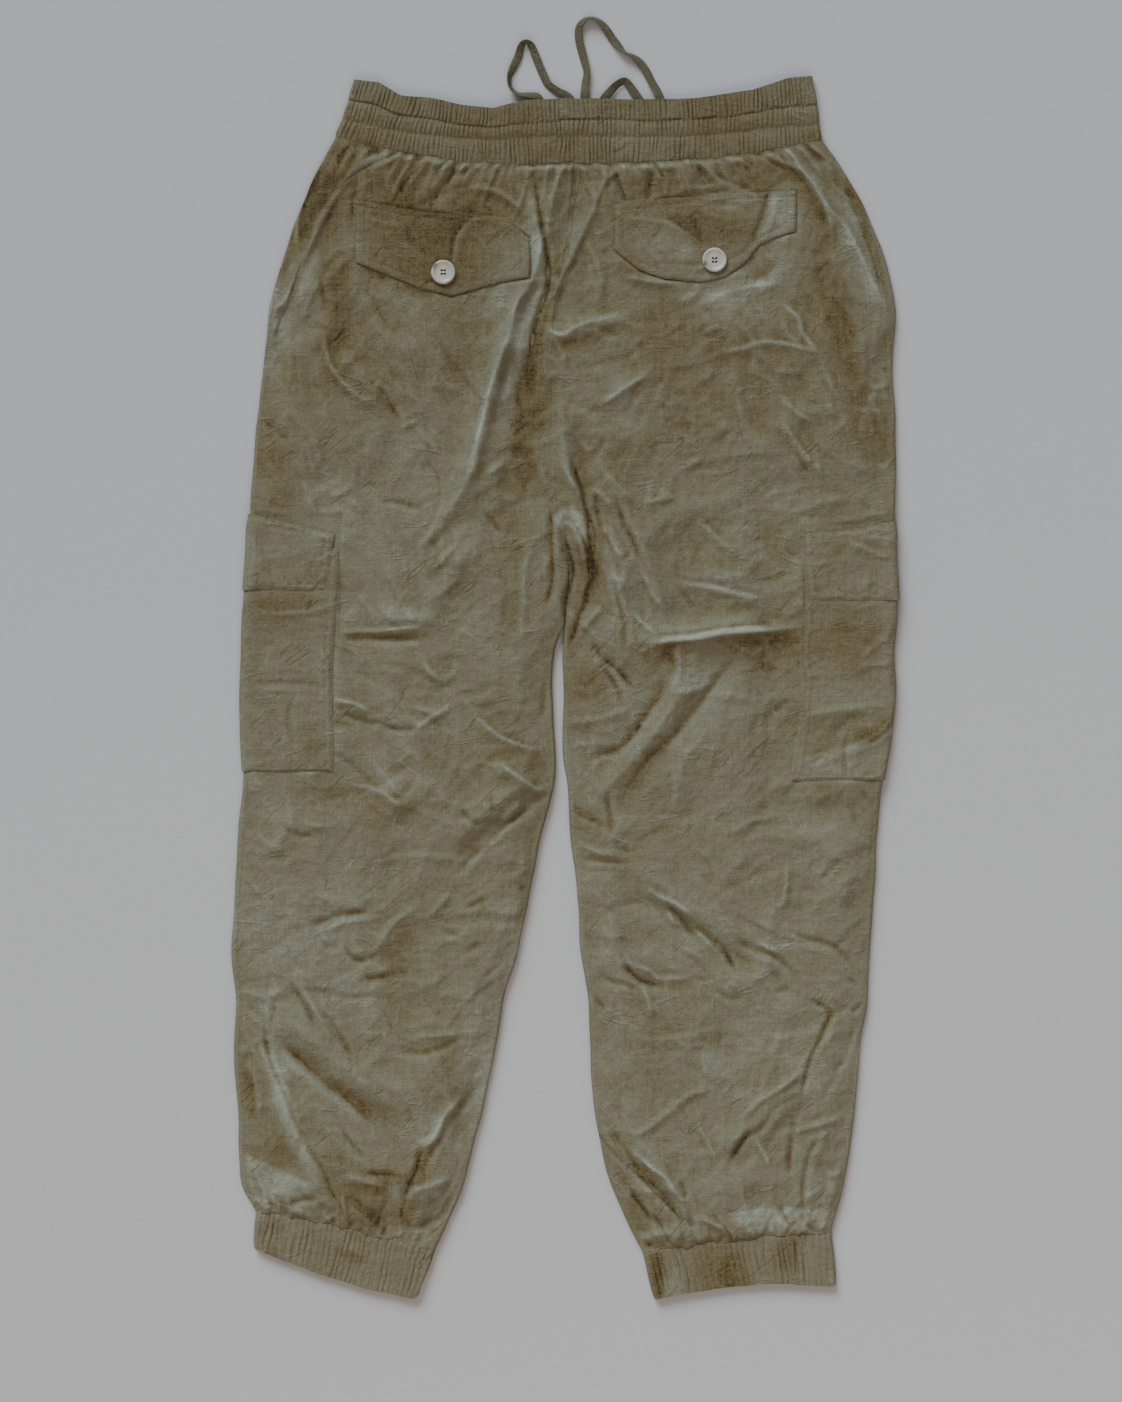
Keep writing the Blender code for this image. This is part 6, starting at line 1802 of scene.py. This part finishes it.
def sewn_button(side, place, ground):
    """A dished four-hole button, and the thread that holds it."""
    vertices = []
    for radius, height in BUTTON_PROFILE:
        for step in range(BUTTON_SIDES):
            angle = math.tau * step / BUTTON_SIDES
            spot = (place[0] + radius * math.cos(angle), place[1] + radius * math.sin(angle), ground + height)
            vertices.append([value * MM for value in spot])
    faces = tube_faces(len(BUTTON_PROFILE), BUTTON_SIDES, turned=True)
    disc = add_mesh(f"sewn_button_{side}", vertices, faces, BUTTON)
    for hole in range(HOLES):
        angle = math.tau * (hole + 0.5) / HOLES
        drill(disc, (place[0] + HOLE_OFF * math.cos(angle), place[1] + HOLE_OFF * math.sin(angle), ground))
    disc.data.shade_smooth()
    disc.data.set_sharp_from_angle(angle=math.radians(38))
    bars = []
    for offset in (-1.41, 1.41):
        for shift in (-0.3, 0.0, 0.3):
            share = np.linspace(-1, 1, 9)
            y = place[1] + offset + shift + 0.15 * share * np.sign(shift)
            bars.append(stack(place[0] + share * 1.5, y, ground + 2.55 - 0.5 * share ** 4))
    thread = stitches(f"button_thread_{side}", bars, pitch=3.0, length=2.9, radius=0.2)
    thread.data.materials[0] = DARK_THREAD
    return disc, thread


# ------------------------------------------------------------------ drawstring
def tie_route(route):
    places = np.linspace(0, len(route) - 1, (len(route) - 1) * TIE_STEPS + 1)
    return np.stack([through(column(route, name), places) for name in TiePoint._fields], axis=-1)


def tie(side, route):
    """A flat tie of folded cloth, stitched along one edge, with blunt ends."""
    line = tie_route(route)
    points, rolls = line[:, :3], np.radians(line[:, 3])
    along = np.gradient(points, axis=0)
    along /= np.linalg.norm(along, axis=1)[:, None]
    across = np.cross(along, (0.0, 0.0, 1.0))
    across /= np.linalg.norm(across, axis=1)[:, None]
    up = np.cross(across, along)
    turned_across = across * np.cos(rolls)[:, None] + up * np.sin(rolls)[:, None]
    turned_up = np.cross(turned_across, along)
    vertices = []
    for centre, wide_way, thick_way in zip(points, turned_across, turned_up):
        for step in range(TIE_SIDES):
            angle = math.tau * (step + 0.5) / TIE_SIDES
            wide, thick = math.cos(angle), math.sin(angle)
            groove = 1 - 0.35 * math.exp(-((wide - 0.72) / 0.08) ** 2)     # of the stitches along one edge
            flat = math.copysign(abs(thick) ** 0.6, thick) * groove
            spot = centre + wide_way * (wide * TIE_WIDTH / 2) + thick_way * (flat * TIE_THICKNESS / 2)
            vertices.append(spot * MM)
    piece = add_mesh(f"tie_end_{side}", vertices, tube_faces(len(points), TIE_SIDES), TIE)
    bm = bmesh.new()
    bm.from_mesh(piece.data)
    bmesh.ops.recalc_face_normals(bm, faces=bm.faces)
    bm.to_mesh(piece.data)
    bm.free()
    path = [tuple(point * MM) for point in points]
    length = float(np.linalg.norm(np.diff(points, axis=0), axis=1).sum()) * MM
    return piece, path, length


# ------------------------------------------------------------------ materials
def add_node(tree, kind, settings=None, **inputs):
    made = tree.nodes.new("ShaderNode" + kind)
    for name, value in (settings or {}).items():
        setattr(made, name, value)
    for name, value in inputs.items():
        name = name.replace("_", " ")
        socket = made.inputs[int(name[5:])] if name.startswith("input") else made.inputs[name]
        if isinstance(value, bpy.types.NodeSocket):
            tree.links.new(value, socket)
        else:
            socket.default_value = value
    return made.outputs[0]


def attribute(tree, name):
    """A value that the mesh holds at its vertices."""
    made = tree.nodes.new("ShaderNodeAttribute")
    made.attribute_name = name
    return made.outputs["Fac"]


def set_inputs(shader, **values):
    for name, value in values.items():
        shader.inputs[name.replace("_", " ")].default_value = value


def calculate(tree, operation, first, second=0.0, third=0.0):
    return add_node(tree, "Math", {"operation": operation}, input0=first, input1=second, input2=third)


def stretched(tree, place, scale):
    return add_node(tree, "Mapping", Vector=place, Scale=scale)


def eased(tree, value, start, end):
    """0 at the start and 1 at the end, with a soft step between."""
    return add_node(tree, "MapRange", {"interpolation_type": "SMOOTHSTEP"}, Value=value, From_Min=start,
                    From_Max=end)


def ramp(tree, value, stops):
    made = tree.nodes.new("ShaderNodeValToRGB")
    tree.links.new(value, made.inputs[0])
    elements = made.color_ramp.elements
    while len(elements) < len(stops):
        elements.new(0.5)
    for element, (place, colour) in zip(elements, stops):
        element.position = place
        element.color = (*colour, 1)
    return made.outputs[0]


# Kinds of hairline crease: direction in radians, how many to a metre, width and sign.
# Above zero a line is raised and painted lighter, a painted highlight; below zero it is sunken and painted darker,
# painted shade.
HAIRLINES = ((0.35, 42.0, 0.020, 1.0), (1.30, 55.0, 0.024, 1.0), (-0.75, 70.0, 0.028, -1.0),
             (-0.20, 85.0, 0.030, 1.0))


def fine_lines(tree, place):
    """Short crisp hairline creases, finer than the mesh: pieces of the contours of long-drawn noise.
    They go into the bump, and into the colour as painted highlight and painted shade.
    """
    total = 0.5
    for turn, scale, width, sign in HAIRLINES:
        turned = add_node(tree, "Mapping", Vector=place, Rotation=(0.0, 0.0, turn))
        drawn = stretched(tree, turned, (scale * 0.14, scale, scale))
        contour = add_node(tree, "TexNoise", Vector=drawn, Scale=1.0, Detail=1.0, Distortion=0.7)
        gap = calculate(tree, "ABSOLUTE", calculate(tree, "SUBTRACT", contour, 0.5))
        line = eased(tree, gap, width, 0.0)
        where = add_node(tree, "TexNoise", Vector=turned, Scale=scale * 0.62, Detail=1.0)
        shown = eased(tree, where, 0.57, 0.68)
        total = calculate(tree, "MULTIPLY_ADD", calculate(tree, "MULTIPLY", line, sign), shown, total)
    return total


def cloth_material(name, stops):
    material = bpy.data.materials.new(name)
    material.use_nodes = True
    tree = material.node_tree
    shader = tree.nodes["Principled BSDF"]
    place = tree.nodes.new("ShaderNodeTexCoord").outputs["Object"]
    crest, painted_shading = attribute(tree, "crest"), attribute(tree, "painted_shading")
    broad = add_node(tree, "TexNoise", Vector=place, Scale=13.0, Detail=2.0)
    middle = add_node(tree, "TexNoise", Vector=place, Scale=62.0, Detail=3.0)
    grain = add_node(tree, "TexNoise", Vector=place, Scale=330.0, Detail=3.0, Roughness=0.7)
    speck = add_node(tree, "TexNoise", Vector=place, Scale=700.0, Detail=2.0, Roughness=0.7)
    slub_up, slub_across = (
        add_node(tree, "TexNoise", Vector=stretched(tree, place, scale), Scale=1.0, Detail=2.0)
        for scale in ((900, 38, 60), (38, 900, 60)))
    lines = fine_lines(tree, place)
    # Painted light and shade: crests painted lighter, partly wear and partly painted highlight, crevices painted
    # darker as painted shade, then the painted shading, browner painted shade and greyer painted light.
    value = calculate(tree, "MULTIPLY_ADD", crest, CREST_PAINTED_SHADING, 0.5)
    value = calculate(tree, "MULTIPLY_ADD", painted_shading, -PAINTED_SHADING_WEIGHT, value)
    # Random tone of the cloth from the noises and slubs; the hairline creases are painted lighter or darker, as
    # painted highlight and painted shade.
    for texture, share in ((broad, 0.40), (middle, 0.16), (grain, 0.36), (speck, 0.5), (slub_up, 0.2),
                           (slub_across, 0.2), (lines, 0.11)):
        shift = calculate(tree, "SUBTRACT", texture, 0.5)
        value = calculate(tree, "MULTIPLY_ADD", shift, share, value)
    colour = ramp(tree, value, stops)
    tree.links.new(colour, shader.inputs["Base Color"])
    set_inputs(shader, Roughness=0.88, Sheen_Weight=0.12, Sheen_Roughness=0.45,
               Sheen_Tint=(0.72, 0.80, 0.74, 1), IOR=1.35, Specular_IOR_Level=0.3)
    crumple = add_node(tree, "TexNoise", Vector=place, Scale=105.0, Detail=4.0, Roughness=0.55)
    crumple = calculate(tree, "ABSOLUTE", calculate(tree, "SUBTRACT", crumple, 0.5))
    crumple = calculate(tree, "MULTIPLY", crumple, -2.2)
    threads = calculate(tree, "ADD", calculate(tree, "MULTIPLY", slub_up, 0.35),
                        calculate(tree, "MULTIPLY", slub_across, 0.35))
    height = calculate(tree, "ADD", calculate(tree, "MULTIPLY", speck, 0.5), threads)
    height = calculate(tree, "ADD", calculate(tree, "MULTIPLY", height, 0.5), crumple)
    height = calculate(tree, "ADD", height, calculate(tree, "MULTIPLY", lines, 0.5))
    bump = add_node(tree, "Bump", Strength=0.9, Distance=0.0009, Height=height)
    tree.links.new(bump, shader.inputs["Normal"])
    return material


def plain_material(name, colour, roughness, **sockets):
    material = bpy.data.materials.new(name)
    material.use_nodes = True
    set_inputs(material.node_tree.nodes["Principled BSDF"], Base_Color=(*colour, 1), Roughness=roughness,
               **sockets)
    return material


def button_material():
    material = plain_material("cream_resin", (0.52, 0.49, 0.42), 0.34, Coat_Weight=0.15)
    tree = material.node_tree
    place = tree.nodes.new("ShaderNodeTexCoord").outputs["Object"]
    cloud = add_node(tree, "TexNoise", Vector=place, Scale=95.0, Detail=2.0)
    colour = ramp(tree, cloud, ((0.30, (0.16, 0.14, 0.12)), (0.40, (0.47, 0.44, 0.38)),
                                (0.6, (0.58, 0.55, 0.48))))
    tree.links.new(colour, tree.nodes["Principled BSDF"].inputs["Base Color"])
    return material


# Brown at low values to grey-green at high ones; where the value comes from the crests and the painted shading, the
# browns are painted shade and the grey-greens painted light.
CLOTH = cloth_material("olive_cloth", (
    (0.00, (0.028, 0.020, 0.009)),
    (0.14, (0.095, 0.067, 0.029)),
    (0.28, (0.158, 0.120, 0.058)),
    (0.50, (0.198, 0.174, 0.115)),
    (0.68, (0.228, 0.219, 0.165)),
    (1.00, (0.345, 0.362, 0.305)),
))
TIE = cloth_material("tie_cloth", ((0.0, (0.045, 0.036, 0.02)), (0.5, (0.120, 0.104, 0.066)),
                                   (1.0, (0.24, 0.23, 0.18))))
THREAD = plain_material("olive_thread", (0.155, 0.135, 0.085), 0.7)
DARK_THREAD = plain_material("dark_thread", (0.035, 0.030, 0.026), 0.6)
BUTTON = button_material()


# ------------------------------------------------------------------ camera and cords
SENSOR = 36
TO_CLOTH = 2.61           # metres from the camera to the cloth
FRAME_HEIGHT = 1.1216     # metres that the picture's 1402 pixels span there
camera_data = bpy.data.cameras.new("camera")
camera = placed("camera", camera_data)
camera.location = (-0.0036, -0.0100, 2.62)
camera_data.sensor_width = SENSOR
camera_data.lens = SENSOR * TO_CLOTH / FRAME_HEIGHT
bpy.context.scene.camera = camera


def finish_piece(piece, slot, *nodes):
    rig.ride(piece, BODY)
    if nodes:
        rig.replaces(piece, *nodes)
    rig.slot(piece, slot)


for side, route in (("left", LEFT_TIE), ("right", RIGHT_TIE)):
    cord, path, length = tie(side, route)
    finish_piece(cord, "drawstring", f"drawstring_{side}")
    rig.cord(cord, exit=path[0], length=round(length, 3), diameter=TIE_WIDTH * MM, far_end="bare",
            stiffness="limp", lay="loose", path=path)


# ------------------------------------------------------------------ the pieces
# Each side's tables, the seed of its cuff's gathers, whether its faces are turned, and its calm zone.
SIDES = (("left", LEFT_LEG, LEFT_CARGO, LEFT_FLAP, LEFT_CUFF, LEFT_BUTTON, 51, False, 0),
         ("right", RIGHT_LEG, RIGHT_CARGO, RIGHT_FLAP, RIGHT_CUFF, RIGHT_BUTTON, 61, True, 1))
flap_stitching, cargo_stitching, seam_stitching = [], [], []
for side, leg, cargo, flap, edge, button_place, seed, turned, zone in SIDES:
    finish_piece(back_panel(side, leg, cargo, flap, turned), "cloth", f"back_{side}")
    finish_piece(front_panel(side, leg, cargo, flap, turned), "cloth", f"front_{side}")
    finish_piece(cuff(side, leg, edge, turned, seed), "cloth", f"cuff_{side}")
    pocket_wrap, flap_wrap = cargo_wraps(leg, cargo)
    # How strongly crests and crevices are painted lighter and darker on the pockets and flaps, and how dark their
    # painted crevice shade may go.
    for part, wrap, rows, crest_paint_contrast, painted_shade_limit in (("pocket", pocket_wrap, 130, 0.7, -1.6),
                                                ("flap", flap_wrap, 46, 0.8, -2.0)):
        piece = cloth(f"cargo_{part}_cloth_{side}", wrap_grid(wrap, rows, 46), turned=turned,
                      thickness=DOUBLED, fine=5, crest_paint_contrast=crest_paint_contrast, painted_shade_limit=painted_shade_limit)
        finish_piece(piece, "cloth", f"cargo_{part}_{side}")
    cargo_stitching += cargo_lines(pocket_wrap, flap_wrap)
    rise = CALM_ZONES[zone].rise
    finish_piece(back_flap(side, flap, rise), "cloth", f"back_flap_{side}")
    flap_stitching += flap_lines(flap, rise)
    disc, thread = sewn_button(side, button_place, EDGE_HEIGHT + rise + 2 * SEAM_GAP + LAYER + BUTTON_STAND)
    finish_piece(disc, "button", f"button_{side}")
    finish_piece(thread, "button")
    seam_stitching += seam_lines(leg, cargo, flap)
finish_piece(waistband(), "cloth", "waistband")
for name, lines in (("waistband", waist_stitch_lines()), ("back_flaps", flap_stitching),
                    ("cargo_pockets", cargo_stitching), ("seams", seam_stitching)):
    finish_piece(stitches(f"stitching_{name}", lines), "cloth")


# Each cloth piece's cut, without seam allowances: width, length, area where it isn't a rectangle, how it is
# held and what it lies on.
Cut = namedtuple("Cut", "piece width length area held rests_on")
CUTS = table(Cut,
    ("back_panel_left", 0.275, 0.890, 0.205, "laid", "front_panel_left"),
    ("back_panel_right", 0.280, 0.895, 0.223, "laid", "front_panel_right"),
    ("front_panel_left", 0.285, 0.895, 0.214, "laid", None),
    ("front_panel_right", 0.285, 0.895, 0.228, "laid", None),
    ("waistband_gathered", 0.052, 1.020, None, "gathered", None),
    ("cuff_gathered_left", 0.040, 0.345, None, "gathered", None),
    ("cuff_gathered_right", 0.042, 0.360, None, "gathered", None),
    ("cargo_pocket_cloth_left", 0.152, 0.180, None, "folded", "back_panel_left"),
    ("cargo_pocket_cloth_right", 0.152, 0.186, None, "folded", "back_panel_right"),
    ("cargo_flap_cloth_left", 0.138, 0.058, None, "folded", "cargo_pocket_cloth_left"),
    ("cargo_flap_cloth_right", 0.146, 0.063, None, "folded", "cargo_pocket_cloth_right"),
    ("back_flap_cloth_left", 0.140, 0.078, 0.0081, "laid", "back_panel_left"),
    ("back_flap_cloth_right", 0.146, 0.074, 0.0084, "laid", "back_panel_right"),
)
for cut in CUTS:
    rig.sheet(bpy.data.objects[cut.piece], flat=(cut.width, cut.length), held=cut.held,
             rests_on=[cut.rests_on] if cut.rests_on else [], area=cut.area)


# ------------------------------------------------------------------ light and floor
def area_light(name, place, aim, size, energy, colour):
    data = bpy.data.lights.new(name, "AREA")
    data.size = size
    data.energy = energy
    data.color = colour
    light = placed(name, data)
    light.location = place
    light.rotation_euler = (Vector(aim) - light.location).to_track_quat("-Z", "Y").to_euler()


sun_data = bpy.data.lights.new("key", "SUN")
sun_data.energy = 3.0
sun_data.angle = math.radians(34)
sun_data.color = (0.80, 0.95, 1.0)
sun = placed("key", sun_data)
sun.rotation_euler = (-Vector((-0.34, 0.80, 0.50))).to_track_quat("-Z", "Y").to_euler()
area_light("fill", (0.3, -2.2, 2.4), (0, -0.3, 0), 2.2, 30, (1.0, 0.86, 0.66))
world = bpy.data.worlds.new("world")
bpy.context.scene.world = world
world.use_nodes = True
set_inputs(world.node_tree.nodes["Background"], Color=(0.92, 0.86, 0.80, 1), Strength=0.28)

FLOOR_REACH, FLOOR_LEVEL = 6, -0.0004
corners = ((-1, -1), (1, -1), (1, 1), (-1, 1))
floor = add_mesh("floor", [(x * FLOOR_REACH, y * FLOOR_REACH, FLOOR_LEVEL) for x, y in corners],
                 [(0, 1, 2, 3)], plain_material("floor", (0.60, 0.585, 0.62), 0.75))
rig.stage(floor)

with open("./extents.json", "w") as file:
    boxes = {"cad": [list(corner) for corner in cad_box], "visual": [list(corner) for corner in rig.bounds()]}
    json.dump(boxes, file)
